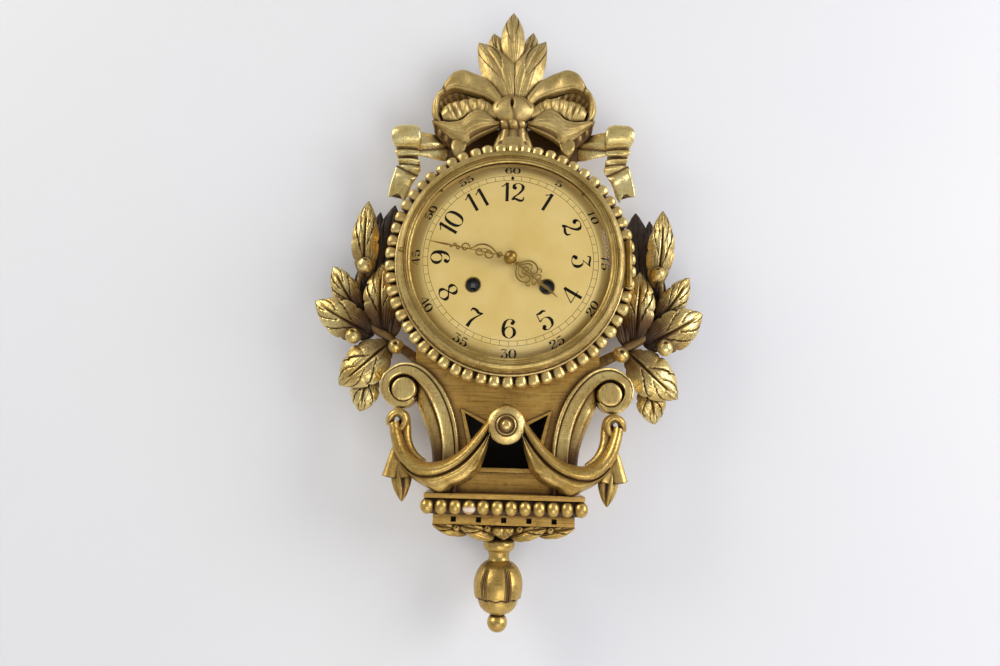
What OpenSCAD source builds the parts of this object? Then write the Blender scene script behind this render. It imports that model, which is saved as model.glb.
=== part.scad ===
// Carved giltwood wall clock: a round drum with a hinged glazed bezel, a ribbon bow and leaf crest,
// laurel sprays at the sides, scroll brackets and cloth swags over a pierced waist, and a turned pendant.
// The wall is the plane y = 0, the front faces -Y, and the dial's axis passes through the origin.
// Every shape is drawn in wall coordinates: x to the right, y up and z out from the wall.

/* [Dial] */
// Distance from the wall to the dial's flat face
dial_face = 88; // [86:0.5:90]
// How far the dial's sloping margin falls back
dial_drop = 6.2; // [4:0.1:6.6]
// Width of the dial's sloping margin
dial_margin_w = 11; // [9:0.5:14]
// Width of the dial's flat rim
dial_rim_w = 2.5; // [2:0.1:3]
// Thickness of the dial sheet
dial_t = 1.2; // [0.8:0.1:1.6]
// Radius of each winding hole
winding_hole_r = 6.6; // [5.5:0.1:7.5]
// Distance between the two winding holes
winding_spacing = 66.6; // [60:0.2:70]
// Distance of the winding holes below the dial's centre
winding_drop = 24.7; // [22:0.1:27]

/* [Bezel] */
// Outer radius of the bezel
bezel_r = 103.5; // [93:0.5:116]
// Width of the bezel's moulding
bezel_w = 12.5; // [12:0.1:15]
// Distance from the wall to the bezel's highest moulding
bezel_face = 95.5; // [95:0.1:97]
// Distance from the wall to the top of the convex glass
glass_top = 107.2; // [106.5:0.1:110]
// Thickness of the glass
glass_t = 1.8; // [1.4:0.1:2]

/* [Hinge] */
// Outer radius of the hinge knuckles
knuckle_r = 3.1; // [2.8:0.1:3.2]
// Radius of the hinge pin
hinge_pin_r = 1.2; // [1:0.05:1.5]
// Length of the middle knuckle
knuckle_mid = 19; // [16:1:22]
// Length of each outer knuckle
knuckle_end = 11.6; // [9:0.2:14]

/* [Drum] */
// Thickness of the drum's wall
drum_t = 7; // [5:0.5:7]
// Depth of the drum's wall from the wall plane
drum_front = 70; // [66:1:70]
// Thickness of the back board
back_t = 12; // [10:0.5:14]
// Thickness of the turned ring that carries the dial
seat_t = 4.6; // [4:0.1:5]
// Width of the ring that carries the dial
seat_w = 19.5; // [17:0.5:23]
// Number of carved beads round the drum
bead_count = 58; // [48:1:60]
// Radius of one carved bead
bead_r = 5.1; // [4:0.1:5.2]
// How far the beads stand out from the drum's wall
bead_reach = 13; // [10:0.5:14]

/* [Waist] */
// Distance from the wall to the waist panel's face
waist_face = 60; // [58:0.5:62]
// Thickness of the waist panel
waist_t = 14; // [12:0.5:16]
// Half the width of the waist at its foot
waist_half = 47; // [45:0.5:49]
// Height of the window's foot below the dial's axis
window_foot = 187; // [182:1:190]
// Half the width of the window at its foot
window_half = 25; // [20:1:28]
// Half the width of the window at its top
window_top_half = 38; // [34:1:38]
// Width of the moulding round the window
window_rim = 3.5; // [2.5:0.1:4]
// Distance from the wall to the scrolls' faces
scroll_face = 68; // [66:0.5:69]
// Radius of the raised disc in each volute
volute_disc_r = 11; // [9:0.2:11.4]

/* [Console] */
// Height of the console's top below the dial's axis
console_top = 209; // [208:0.5:212]
// Half the width of the console's top board
console_half = 70; // [66:1:74]
// Distance from the wall to the front of the console
console_front = 80; // [76:1:86]
// Number of beads along the console's front
console_beads_n = 12; // [10:1:12]
// Height of the band of beads
bead_band_h = 14; // [13:0.5:16]
// Height of the fillet with the square holes
fillet_h = 8.5; // [7:0.5:11]
// Side of each square hole in the fillet
fillet_hole = 4.6; // [3.6:0.2:5.2]
// Height of the leafy apron under the console
apron_h = 16.5; // [14:0.5:18]

/* [Pendant] */
// Distance of the pendant's axis from the wall
pendant_axis = 42; // [38:1:46]
// Largest radius of the lobed bulb
bulb_r = 22; // [18:0.5:24]
// Radius of the ball at the bottom
ball_r = 8.4; // [7:0.2:9]
// Number of pairs of grooves that cut the bulb into lobes
groove_pairs = 3; // [3:1:6]
// Turn of the lobes about the pendant's axis
groove_turn = 6; // [-30:1:30]

/* [Hands] */
// How far the minute hand's tip stays inside the flat of the dial
minute_short = 6.5; // [5:0.5:12]
// How far the hour hand's tip stays inside the flat of the dial
hour_short = 25.5; // [22:0.5:32]
// Thickness of the hands
hand_t = 1; // [0.8:0.1:1.2]
// Angle of the minute hand, clockwise from twelve
minute_at = 279.5; // [0:0.5:359.5]
// Angle of the hour hand, clockwise from twelve
hour_at = 129; // [0:0.5:359.5]

/* [Movement] */
// How far the movement's plates reach past their pillars
plate_margin = 6; // [4:0.5:8]
// Thickness of each plate
plate_t = 2; // [1.6:0.1:2.2]
// Distance between the plates
plate_gap = 38; // [34:0.5:40]
// Radius of each spring barrel
barrel_r = 21; // [18:0.5:21]
// Side of the square on each winding arbor
winding_square = 4; // [3.6:0.1:4.4]
// Radius of each winding arbor
winding_arbor_r = 3; // [2.6:0.1:3.2]
// Length of the pendulum from its hinge to the middle of the bob
pendulum_len = 150; // [140:1:154]
// Radius of the pendulum's bob
bob_r = 15; // [12:0.5:16]

/* [Ornament] */
// Height of the crest's top leaf above the dial's axis
crest_top = 275; // [268:1:282]
// Scale of the leaves' widths
leaf_fullness = 1; // [0.9:0.02:1.1]
// Radius of the laurel berries
berry_r = 7; // [6:0.2:7.6]
// Radius of the rosette
rosette_r = 17; // [15:0.5:17.5]

/* [Hanger] */
// Radius of the hole that takes the wall hook
hanger_hole_r = 4; // [3:0.1:5]
// Height of the hanger's hole above the dial's axis
hanger_up = 70; // [60:1:78]

/* [Hidden] */
// Half the width of the crest's base board
crest_base_half = 66;
// Gap between carved pieces that seat on each other
seat_gap = 0.3;
// Radial clearance of a shaft that turns in its hole
run_gap = 0.05;
// Radii of the drum, its ring and its beads
drum_r = bezel_r + 0.5;
seat_in_r = bezel_r - seat_w;
bead_out_r = drum_r + bead_reach;
bead_flange_r = bead_out_r - 5;
// Radii of the sight edge, the glass and the dial
sight_r = bezel_r - bezel_w;
glass_edge_r = sight_r + 3.2;
dial_r = glass_edge_r - 0.2;
dial_slope_r = dial_r - dial_rim_w;
dial_flat_r = dial_slope_r - dial_margin_w;
minute_len = dial_flat_r - minute_short;
hour_len = dial_flat_r - hour_short;
// How much further out the carved pieces round the drum sit than they were drawn
spread = drum_r - 104;
// Distances from the wall of the main layers
seat_back = drum_front + 6;
seat_front = seat_back + seat_t;
dial_back = dial_face - dial_t;
rim_front = seat_front + dial_t;
bezel_back = seat_front + seat_gap;
lip_front = seat_front + 0.9;
glass_rim_front = dial_face + 4.2;
glass_rim_back = glass_rim_front - glass_t;
plate_front = seat_back - 2;
plate_back = plate_front - 2 * plate_t - plate_gap;
// Hinge axis
hinge_x = bezel_r + 4.5;
hinge_out = seat_front + 3.7;
// Hand levels
hour_level = dial_face + 2.4;
minute_level = hour_level + 3;
arbor_r = 1.2;
cannon_r = 2;
hour_pipe_r = 3.2;
// Motion work
gear_distance = 21;
cannon_teeth = 14;
minute_teeth = 42;
pinion_teeth = 12;
hour_teeth = 48;
cannon_module = 2 * gear_distance / (cannon_teeth + minute_teeth);
hour_module = 2 * gear_distance / (pinion_teeth + hour_teeth);
// Scroll brackets: centre line x, y and width, for the left bracket
scroll_path = [[-51, -console_top + 3 * seat_gap, 13], [-48.6, -178, 13.5], [-53, -148, 13.5],
               [-64, -122, 13.5], [-80, -104, 12], [-96, -99.5, 10], [-109.5, -108, 8.6],
               [-110.5, -121, 8], [-101, -131, 7.6], [-90, -130, 6]];
// Outline of the flank outside the left scroll
flank_shape = [[-60, -130], [-84, -127], [-83.3, -132.4], [-77.2, -140.4], [-71.7, -152.4], [-67.8, -166.8],
               [-65.6, -180.3], [-64.6, -console_top + 3 * seat_gap], [-51, -console_top + 3 * seat_gap],
               [-48.6, -178], [-53, -148]];
volute_x = -94;
volute_y = -118.5;
// Behind the waist panel
waist_back = waist_face - waist_t;
rosette_y = -149;
pendulum_hinge_y = 36;
pendulum_out = 24;
// Pillars of the movement clear the spring barrels
pillar_x = winding_spacing / 2 + 16.7;
pillar_y = winding_drop + 17.3;
plate_half_w = pillar_x + plate_margin;
plate_half_h = pillar_y + plate_margin;
// Straps that carry the movement, and the gong
strap_half = drum_r - 21;
gong_x = drum_r - 44;
gong_y = drum_r - 54;
$fn = 48;

// Turns wall coordinates into the part's own frame
module on_wall() {
  rotate([90, 0, 0]) children();
}

// The place of the pieces that sit on top of the drum
module on_drum_top() {
  translate([0, spread, 0]) children();
}

// A flat shape between two distances from the wall
module slab(back, front) {
  translate([0, 0, back]) linear_extrude(front - back) children();
}

// A turned shape round the dial's axis, from points of radius and distance from the wall
module turned(profile) {
  rotate_extrude($fn = 96) polygon(profile);
}

// A turned shape round a vertical axis, from points of radius and height
module spindle(profile) {
  rotate([-90, 0, 0]) rotate_extrude() polygon(profile);
}

function mix(a, b, t) = a + (b - a) * t;

// A point of the smooth curve through the points p, between point i and the next
function curve_at(p, i, t) =
  let (n = len(p) - 1, a = p[max(i - 1, 0)], b = p[i], c = p[min(i + 1, n)], d = p[min(i + 2, n)])
  0.5 * (2 * b + (c - a) * t + (2 * a - 5 * b + 4 * c - d) * t * t + (3 * b - a - 3 * c + d) * t * t * t);

function curve(p, steps) =
  [for (i = [0:len(p) - 2]) for (k = [0:steps - 1]) curve_at(p, i, k / steps), p[len(p) - 1]];

// One edge of a band that follows the points q, each with its x, y and width
function band_edge(q, i, side) =
  let (a = q[max(i - 1, 0)], b = q[min(i + 1, len(q) - 1)], l = norm([b.x - a.x, b.y - a.y]))
  [q[i].x - side * (b.y - a.y) / l * q[i].z / 2, q[i].y + side * (b.x - a.x) / l * q[i].z / 2];

module band(q, extra = 0) {
  w = [for (p = q) [p.x, p.y, p.z + extra]];
  polygon(concat([for (i = [0:len(w) - 1]) band_edge(w, i, 1)],
                 [for (i = [len(w) - 1:-1:0]) band_edge(w, i, -1)]));
}

// A closed skin over rings with the same number of points
module loft(rings) {
  n = len(rings);
  m = len(rings[0]);
  polyhedron(points = [for (r = rings) for (p = r) p],
             faces = concat([for (i = [0:n - 2]) for (k = [0:m - 1])
                               [i * m + k, i * m + m + k, i * m + (k + 1) % m]],
                            [for (i = [0:n - 2]) for (k = [0:m - 1])
                               [i * m + m + k, i * m + m + (k + 1) % m, i * m + (k + 1) % m]],
                            [for (k = [1:m - 2]) [0, k, k + 1]],
                            [for (k = [1:m - 2]) [(n - 1) * m, (n - 1) * m + k + 1, (n - 1) * m + k]]));
}

// A carved leaf from its base to its tip: two raised halves with a sunk midrib between them
leaf_section = [[1, 0.05], [0.5, 0.42], [0, 0.12], [-0.5, 0.42], [-1, 0.05], [-0.75, -0.3], [0, -0.55],
                [0.75, -0.3]];

function leaf_half(s) = max(0.05, pow(sin(180 * pow(s, 0.8)), 0.75));

module leaf(base, tip, width, thick = 8, bulge = 4, steps = 7, bend = 0) {
  run = [tip.x - base.x, tip.y - base.y];
  across = [-run.y, run.x, 0] / norm(run);
  side = across * width * leaf_fullness / 2;
  loft([for (i = [0:steps])
          let (s = i / steps, c = mix(base, tip, s) + across * bend * sin(180 * s), h = leaf_half(s),
               e = mix(1, 0.35, s))
          [for (q = leaf_section) [c.x + side.x * h * q.x, c.y + side.y * h * q.x,
                                   c.z + bulge * sin(180 * s) + thick * e * q.y]]]);
}

// A rounded bar through points of x, y, out, half width and half depth
module sweep(p, sides) {
  loft([for (i = [0:len(p) - 1])
          let (a = p[max(i - 1, 0)], b = p[min(i + 1, len(p) - 1)], l = norm([b.x - a.x, b.y - a.y]))
          [for (k = [0:sides - 1])
             [p[i].x - (b.y - a.y) / l * p[i][3] * cos(360 * k / sides),
              p[i].y + (b.x - a.x) / l * p[i][3] * cos(360 * k / sides),
              p[i].z + p[i][4] * sin(360 * k / sides)]]]);
}

// Joins carved forms into one skin
module carved() {
  resize([0, 0, 0]) union() children();
}

// A twig of round cross-section through points of x, y and out
module twig(p, r) {
  for (i = [0:len(p) - 2]) hull() {
    translate(p[i]) sphere(r, $fn = 8);
    translate(p[i + 1]) sphere(r, $fn = 8);
  }
}

// A gear blank with straight-sided teeth; half_tooth is the half angle of a tooth at its root
module gear(teeth, modul, bore, phase = 0) {
  pitch = modul * teeth / 2;
  root = pitch - 1.2 * modul;
  top = pitch + 0.8 * modul;
  half_root = 90 / teeth * 1.05;
  half_top = 90 / teeth * 0.42;
  difference() {
    rotate(phase) polygon([for (i = [0:teeth - 1])
                             for (q = [[root, -half_root], [top, -half_top], [top, half_top],
                                       [root, half_root]])
                             q.x * [cos(360 * i / teeth + q.y), sin(360 * i / teeth + q.y)]]);
    circle(bore);
  }
}

// A cheese-head screw whose head lies at the given distance from the wall
module screw(shank_r, shank_l, head_r, head_t) {
  cylinder(r = head_r, h = head_t);
  translate([0, 0, -shank_l]) cylinder(r = shank_r, h = shank_l + 0.01);
}

// Four copies at the corners of a rectangle
module corners(x, y) {
  for (i = [-1, 1]) for (j = [-1, 1]) translate([i * x, j * y, 0]) children();
}

// The waist's outline from the drum down to the console
module waist_shape() {
  polygon([[-85, -60], [85, -60], [85, -98], [60, -140], [waist_half, -console_top + seat_gap],
           [-waist_half, -console_top + seat_gap], [-60, -140], [-85, -98]]);
}

module window_shape(grow = 0) {
  polygon([[-window_top_half - grow, -138 + grow], [-18, -149 + grow], [18, -149 + grow],
           [window_top_half + grow, -138 + grow], [window_half + grow, -window_foot - grow],
           [-window_half - grow, -window_foot - grow]]);
}

// Sides of the waist, drawn for the left side
module waist_side_shape() {
  difference() {
    polygon([[-86 - spread, -80], [-84 - spread, -92], [-76, -112], [-70, -135], [-66, -165],
             [-64, -console_top + seat_gap], [-34 - seat_gap, -console_top + seat_gap],
             [-34 - seat_gap, -console_top + 12],
             [-36 - seat_gap, -140], [-42 - seat_gap, -80]]);
    circle(drum_r + seat_gap, $fn = 96);
  }
}

module back_board() color("#6b4a2b") on_wall() difference() {
  slab(0, back_t) union() {
    circle(drum_r, $fn = 96);
    polygon([[-80, -60], [80, -60], [80, -90], [66, -135], [62, -console_top + seat_gap],
             [-62, -console_top + seat_gap], [-66, -135], [-80, -90]]);
  }
  translate([-22, hanger_up - 8, -1]) cube([44, 16, 3]);
  translate([0, hanger_up, 1]) cylinder(r = hanger_hole_r + 4, h = 8);
  for (i = [-1, 1]) translate([i * 17, hanger_up, 1]) cylinder(r = 1.6, h = 8);
}

module drum_wall() color("#8f7434") on_wall() difference() {
  slab(back_t, drum_front) difference() {
    circle(drum_r, $fn = 96);
    circle(drum_r - drum_t, $fn = 96);
  }
  translate([-34, -drum_r - 5, back_t - 1]) cube([68, 30, waist_back - back_t + 1]);
}

module dial_seat() color("#a68a4a") on_wall() difference() {
  turned([[seat_in_r, seat_back], [bezel_r, seat_back], [bezel_r, seat_front], [seat_in_r, seat_front]]);
  corners(strap_half - 5, pillar_y) translate([0, 0, seat_back - 1]) cylinder(r = 1.6, h = 3.8);
  for (a = [45:90:315]) rotate(a) translate([dial_r - 1.3, 0, seat_front - 2.6]) cylinder(r = 0.65, h = 4);
}

module bead_ring() color("#b3954c") on_wall() union() {
  turned([[drum_r - drum_t, drum_front], [bead_flange_r, drum_front], [bead_flange_r, drum_front + 3.4],
          [drum_r + 2, drum_front + 3.4], [drum_r + 2, lip_front],
          [bezel_r + seat_gap, lip_front], [bezel_r + seat_gap, seat_back], [drum_r - drum_t, seat_back]]);
  for (i = [0:bead_count - 1]) rotate(360 * (i + 0.5) / bead_count)
    translate([drum_r + 1, 0, (drum_front + lip_front) / 2]) rotate([0, 90, 0]) {
      cylinder(r = bead_r, h = bead_out_r - drum_r - 1 - bead_r, $fn = 24);
      translate([0, 0, bead_out_r - drum_r - 1 - bead_r]) sphere(bead_r, $fn = 24);
    }
}

module waist_front() color("#a68a4a") on_wall() difference() {
  union() {
    slab(waist_back, waist_face) difference() {
      waist_shape();
      circle(drum_r + seat_gap, $fn = 96);
    }
    slab(waist_face - 1, waist_face + 3) window_shape(window_rim);
  }
  slab(waist_back - 1, waist_face + 4) window_shape();
  for (s = [0, 1]) mirror([s, 0, 0]) slab(waist_back - 1, waist_face + 4)
    band(curve(scroll_path, 4), 2 * seat_gap);
}

module waist_side_left() color("#8f7434") on_wall() slab(back_t, waist_back) waist_side_shape();

module waist_side_right() mirror([1, 0, 0]) waist_side_left();

module scroll_left() color("#b3954c") on_wall() difference() {
  union() {
    slab(waist_back, scroll_face) band(curve(scroll_path, 4));
    translate([volute_x, volute_y, waist_back]) cylinder(r = volute_disc_r, h = scroll_face - waist_back);
    slab(waist_back, scroll_face - 12) translate([volute_x - 2.5, volute_y + 2.5]) circle(14);
    slab(waist_back, scroll_face - 13) polygon(flank_shape);
  }
  slab(waist_back - 1, scroll_face + 1) circle(drum_r + seat_gap, $fn = 96);
}

module scroll_right() mirror([1, 0, 0]) scroll_left();

module rosette() color("#c2a55a") on_wall() translate([0, rosette_y, 0]) {
  post = waist_face + 3;
  rotate_extrude() polygon([[0, post], [9, post], [9, 78], [rosette_r, 78], [rosette_r, 81],
                            [rosette_r - 3, 83], [8, 84.5], [6.4, 84.5], [6.4, 86], [5, 86], [5, 84.5],
                            [3.2, 84.5], [3, 87], [1.6, 88.4], [0, 88.8]]);
}

// The cloth's rolled upper edge, from over the rosette to the hook
swag_tube = [[3, -129.3, 72.5, 3.4, 3.6], [-12, -133, 72.5, 4, 3.8], [-20, -146, 74, 5, 5],
             [-32, -166, 76, 6.5, 7], [-56, -180, 78, 7.4, 8.5], [-79, -171, 77, 7, 8],
             [-91, -153, 75, 6, 6], [-97, -140, 74, 5.6, 5]];
// The hanging fold under it
swag_fold = [[-21, -159, 73, 5, 4], [-26, -176, 75, 9, 6], [-42, -192, 76, 12, 7.4],
             [-62, -190, 76, 11.5, 7], [-82, -178, 75, 8, 6], [-94, -163, 73.5, 4, 4]];

module swag_left() color("#b3954c") on_wall() carved() difference() {
  union() {
    sweep(curve(swag_tube, 2), 10);
    sweep(curve(swag_fold, 2), 10);
    translate([-97.5, -139, 74]) rotate([0, 90, 20]) rotate_extrude($fn = 16) translate([4.6, 0])
      circle(2.4, $fn = 8);
    leaf([-91.5, -165, 72.3], [-105, -199, 71], 15, 6.3, 1, 5);
    leaf([-89.4, -171, 72.6], [-88, -216, 71], 17, 6.5, 1, 5);
  }
  translate([-seat_gap / 2, -200, 50]) cube([20, 100, 50]);
  translate([0, 0, 50]) cylinder(r = bead_out_r + seat_gap, h = 50, $fn = 96);
}

module swag_right() mirror([1, 0, 0]) swag_left();

module console_board() color("#a68a4a") on_wall()
  translate([-console_half, -console_top - 4, 0]) cube([2 * console_half, 4, console_front]);

module console_beads() color("#c2a55a") on_wall() {
  top = -console_top - 4;
  inset = 4;
  step = 2 * (console_half - 3) / (console_beads_n - 1);
  side_step = (console_front - 12) / 5;
  bead = bead_band_h / 2 - 1;
  translate([-console_half + inset, top - bead_band_h, 0])
    cube([2 * (console_half - inset), bead_band_h, console_front - inset]);
  for (i = [0:console_beads_n - 1])
    translate([-console_half + 3 + i * step, top - bead_band_h / 2, console_front - inset])
      sphere(bead, $fn = 24);
  for (s = [-1, 1]) for (j = [0:4])
    translate([s * (console_half - inset), top - bead_band_h / 2, console_front - 14 - j * side_step])
      sphere(bead, $fn = 24);
}

module console_fillet() color("#a68a4a") on_wall() {
  top = -console_top - 4 - bead_band_h;
  half = console_half - 8;
  front = console_front - 8;
  difference() {
    translate([-half, top - fillet_h, 0]) cube([2 * half, fillet_h, front]);
    for (i = [-2:2])
      translate([i * 22 - fillet_hole / 2, top - fillet_h / 2 - fillet_hole / 2, front - 6])
        cube([fillet_hole, fillet_hole, 8]);
  }
}

module leaf_apron() color("#9c8042") on_wall() carved() difference() {
  top = -console_top - 4 - bead_band_h - fillet_h;
  half = console_half - 9;
  front = console_front - 10;
  union() {
    hull() {
      translate([-half + 4, top - 3, 0.01]) cube([2 * half - 8, 3, front - 4]);
      translate([-24, top - apron_h + 1, 14]) cube([48, 3, front - 34]);
    }
    for (i = [-2:2]) leaf([i * 25, top + 1, front - 3], [i * 20, top - apron_h + 2, front - 8], 33, 7, 3, 5);
    for (i = [-1.5:1:1.5]) translate([i * 27, top - 3.6, front - 1]) sphere(3.4, $fn = 12);
  }
  translate([-console_half, top, -1]) cube([2 * console_half, 30, console_front + 10]);
}

module finial() color("#b3954c") on_wall() {
  collar = -console_top - 4 - bead_band_h - fillet_h - apron_h + 1;
  bulb = collar - 39;
  translate([0, 0, pendant_axis]) {
    difference() {
      spindle([[0, collar], [14, collar], [14, collar - 5], [12.6, collar - 6], [14, collar - 7],
               [14, collar - 10], [9.6, collar - 14], [9.6, collar - 18], [13, collar - 20],
               [bulb_r - 3, bulb + 11], [bulb_r - 0.6, bulb + 5], [bulb_r, bulb - 1],
               [bulb_r - 0.8, bulb - 7], [bulb_r - 1.8, bulb - 12], [bulb_r - 4.4, bulb - 17.6],
               [bulb_r - 9, bulb - 22.4], [bulb_r - 14, bulb - 25], [6, bulb - 26], [0, bulb - 26]]);
      for (i = [0:groove_pairs - 1]) translate([0, bulb, 0]) intersection() {
        rotate([0, 180 * i / groove_pairs - groove_turn, 0]) rotate_extrude()
          translate([bulb_r + 0.4, 0]) circle(1.7);
        translate([-30, -11, -30]) cube([60, 27, 60]);
      }
    }
    translate([0, bulb - 26 - ball_r + 1.4, 0]) sphere(ball_r);
  }
}

module bow_leaves() color("#a89559") on_wall() on_drum_top() carved() {
  difference() {
    union() {
      leaf([-14, 152, 46], [-85, 151, 44], 36, 12, 5, 7, 7);
      leaf([14, 152, 46], [85, 151, 44], 36, 12, 5, 7, -7);
      hull() {
        translate([-13, 100, 26]) cube([26, 2, 26]);
        translate([-11, 142, 26]) cube([22, 2, 18]);
      }
      translate([-20, 142, 26]) cube([40, 18, 18]);
      slab(26, 37) polygon([[-crest_base_half, 118], [-50, 96], [50, 96], [crest_base_half, 118],
                            [crest_base_half, 140], [40, 152], [-40, 152], [-crest_base_half, 140]]);
    }
    translate([0, -spread, 0]) cylinder(r = drum_r + seat_gap, h = 90, $fn = 96);
    for (s = [-1, 1]) translate([s * 9.5, 162, 53.5]) sphere(11.5 + seat_gap, $fn = 32);
  }
}

module bow_knot() color("#b3a05e") on_wall() on_drum_top() carved() difference() {
  translate([0, 162, 53.5]) {
    for (s = [-1, 1]) translate([s * 9.5, 0, 0]) sphere(11.5, $fn = 22);
    translate([0, -7, 0]) sphere(9, $fn = 18);
  }
  translate([-30, 140, 20]) cube([60, 40, 24 + seat_gap]);
  translate([0, 167, 60]) rotate([-30, 0, 0]) cylinder(r = 2.4, h = 12, $fn = 16);
}

// One loop of the bow: outer ribbon from the knot out and round, and the wavy inner ribbon
loop_path = [[-15, 169, 5], [-38, 187, 5], [-52, 201, 5.5], [-66, 197, 6], [-76, 183, 6], [-80, 168, 6],
             [-73, 157, 5], [-60, 158, 4]];
inner_path = [[-17, 164, 4], [-38, 174, 4.4], [-52, 173, 4.4], [-60, 165, 4]];

module bow_left() color("#a89559") on_wall() on_drum_top() difference() {
  union() {
    slab(26, 62) band(curve(loop_path, 4));
    slab(30, 56) band(curve(inner_path, 4));
    slab(26, 32) polygon(concat([for (p = curve(loop_path, 4)) [p.x, p.y]], [[-18, 163]]));
  }
  translate([0, 162, 53.5]) for (s = [-1, 1]) translate([s * 9.5, 0, 0]) sphere(11.5 + seat_gap);
  translate([-90, 120, 20]) cube([90, 44, 90]);
  translate([-8 - seat_gap, 150, 20]) cube([20, 60, 60]);
}

module bow_right() mirror([1, 0, 0]) bow_left();

module crest_leaves() color("#a89559") on_wall() on_drum_top() carved() difference() {
  top = crest_top - spread;
  union() {
    leaf([0, 214, 52], [0, top, 46], 29, 12, 5);
    leaf([-2, 176, 50], [-38, top - 33, 46], 36, 13, 5);
    leaf([2, 176, 50], [33, top - 33, 46], 36, 13, 5);
    leaf([-8, 205, 38], [-21, top - 22, 38], 20, 9, 2);
    leaf([8, 205, 38], [21, top - 22, 38], 20, 9, 2);
    hull() {
      translate([-8, 160 + seat_gap, 28]) cube([16, 2, 14]);
      translate([-5, 236, 34]) cube([10, 2, 12]);
    }
  }
  for (s = [-1, 1]) translate([s * 9.5, 162, 53.5]) sphere(11.5 + seat_gap, $fn = 32);
  for (s = [0, 1]) mirror([s, 0, 0]) slab(20, 70) band(curve(loop_path, 2), 2 * seat_gap);
}

module ribbon_left() color("#b3954c") on_wall() on_drum_top() carved() {
  sweep([[-107, 148.5, 46, 4, 4], [-107, 146, 46, 10, 9], [-107, 138, 46, 13, 12], [-107, 130, 46, 13, 12],
         [-108, 122, 46, 11, 9], [-107, 112, 45, 12, 6], [-110, 100, 44, 10, 5], [-113, 88, 44, 13, 6],
         [-112, 74, 43, 15, 4]], 10);
  end = -crest_base_half - seat_gap;
  sweep([[-97, 135, 42, 8, 5], [-84, 131, 36, 9, 4], [-72, 129, 32, 10, 4], [end, 129, 31, 10, 4]], 8);
}

module ribbon_right() mirror([1, 0, 0]) ribbon_left();

// Laurel spray, drawn for the left side
module spray() {
  leaf([-145, -8, 42], [-142, 67, 44], 28, 11, 6);
  leaf([-122, -4, 29], [-117, 66, 28], 33, 8, 2);
  leaf([-135, -52, 31], [-149, 8, 31], 25, 8, 2);
  leaf([-143, -43, 38], [-174, 0, 36], 27, 10, 4);
  leaf([-121, -62, 42], [-124, 4, 42], 27, 10, 5);
  leaf([-113, -66, 40], [-109, -36, 40], 14, 7, 2);
  leaf([-127, -64, 42], [-188, -33, 40], 31, 11, 5);
  leaf([-113, -73, 46], [-159, -114, 42], 40, 12, 6);
  leaf([-124, -96, 38], [-141, -139, 34], 28, 10, 3);
  for (b = [[-142, 3, 52], [-149, -66, 51], [-108.5, -76, 50]]) translate(b) sphere(berry_r, $fn = 14);
  twig([[-89.6, -84.6, 40], [-97, -80, 41], [-111, -69, 42], [-126, -60, 41], [-142, -50, 39],
        [-148, -30, 38], [-146, -4, 40]], 4);
  twig([[-142, -50, 39], [-125, -20, 34], [-120, 12, 30]], 3.4);
  twig([[-111, -72, 42], [-124, -96, 36]], 3.4);
}

module spray_left() color("#9c7f3e") on_wall() translate([-spread, 0, 0]) carved() spray();

module spray_right() color("#9c7f3e") on_wall() translate([spread, 0, 0]) carved() mirror([1, 0, 0]) spray();

module dial() color("#d4b96e") on_wall() difference() {
  turned([[0, dial_back], [dial_flat_r - 0.3, dial_back], [dial_slope_r - 0.3, dial_back - dial_drop],
          [dial_slope_r - 0.3, seat_front], [dial_r, seat_front], [dial_r, rim_front],
          [dial_slope_r, dial_face - dial_drop], [dial_flat_r, dial_face], [0, dial_face]]);
  translate([0, 0, dial_back - 1]) cylinder(r = hour_pipe_r + 1.2, h = dial_t + 2);
  for (s = [-1, 1]) translate([s * winding_spacing / 2, -winding_drop, dial_back - 1])
    cylinder(r = winding_hole_r, h = dial_t + 2);
  for (a = [45:90:315]) rotate(a) translate([dial_r - 1.3, 0, seat_front - 1]) cylinder(r = 0.65, h = 4);
}

module dial_screws() color("#b08d3c") on_wall()
  for (a = [45:90:315]) rotate(a) translate([dial_r - 1.3, 0, rim_front]) screw(0.6, 3, 1.1, 0.7);

// Hinge: two knuckles on the case, one on the bezel, and the pin through all three
module knuckle(low, high) {
  translate([hinge_x, low, hinge_out]) rotate([-90, 0, 0]) cylinder(r = knuckle_r, h = high - low);
}

module hinge_bore(clear) {
  translate([hinge_x, -60, hinge_out]) rotate([-90, 0, 0]) cylinder(r = hinge_pin_r + clear, h = 120);
}

module hinge_case() color("#a5854a") on_wall() difference() {
  union() {
    knuckle(knuckle_mid / 2 + 0.15, knuckle_mid / 2 + knuckle_end);
    knuckle(-knuckle_mid / 2 - knuckle_end, -knuckle_mid / 2 - 0.15);
    for (s = [0, 1]) mirror([0, s, 0]) translate([bezel_r - 3, knuckle_mid / 2 + 0.15, lip_front])
      cube([7.5, knuckle_end - 0.15, 1.6]);
  }
  hinge_bore(0.03);
  translate([0, 0, lip_front - 1]) cylinder(r = bezel_r + seat_gap, h = 8, $fn = 96);
}

module hinge_pin() color("#a5854a") on_wall() {
  end = knuckle_mid / 2 + knuckle_end;
  translate([hinge_x, -end, hinge_out]) rotate([-90, 0, 0]) cylinder(r = hinge_pin_r, h = 2 * end);
  for (s = [0, 1]) mirror([0, s, 0]) translate([hinge_x, end, hinge_out]) rotate([-90, 0, 0])
    cylinder(r1 = hinge_pin_r + 0.9, r2 = hinge_pin_r - 0.2, h = 1.6);
}

module hinge_door() color("#a5854a") on_wall() difference() {
  union() {
    knuckle(-knuckle_mid / 2, knuckle_mid / 2);
    translate([bezel_r - 4, -knuckle_mid / 2, hinge_out - 0.7]) cube([8.5, knuckle_mid, 1.4]);
  }
  hinge_bore(run_gap);
}

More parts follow.
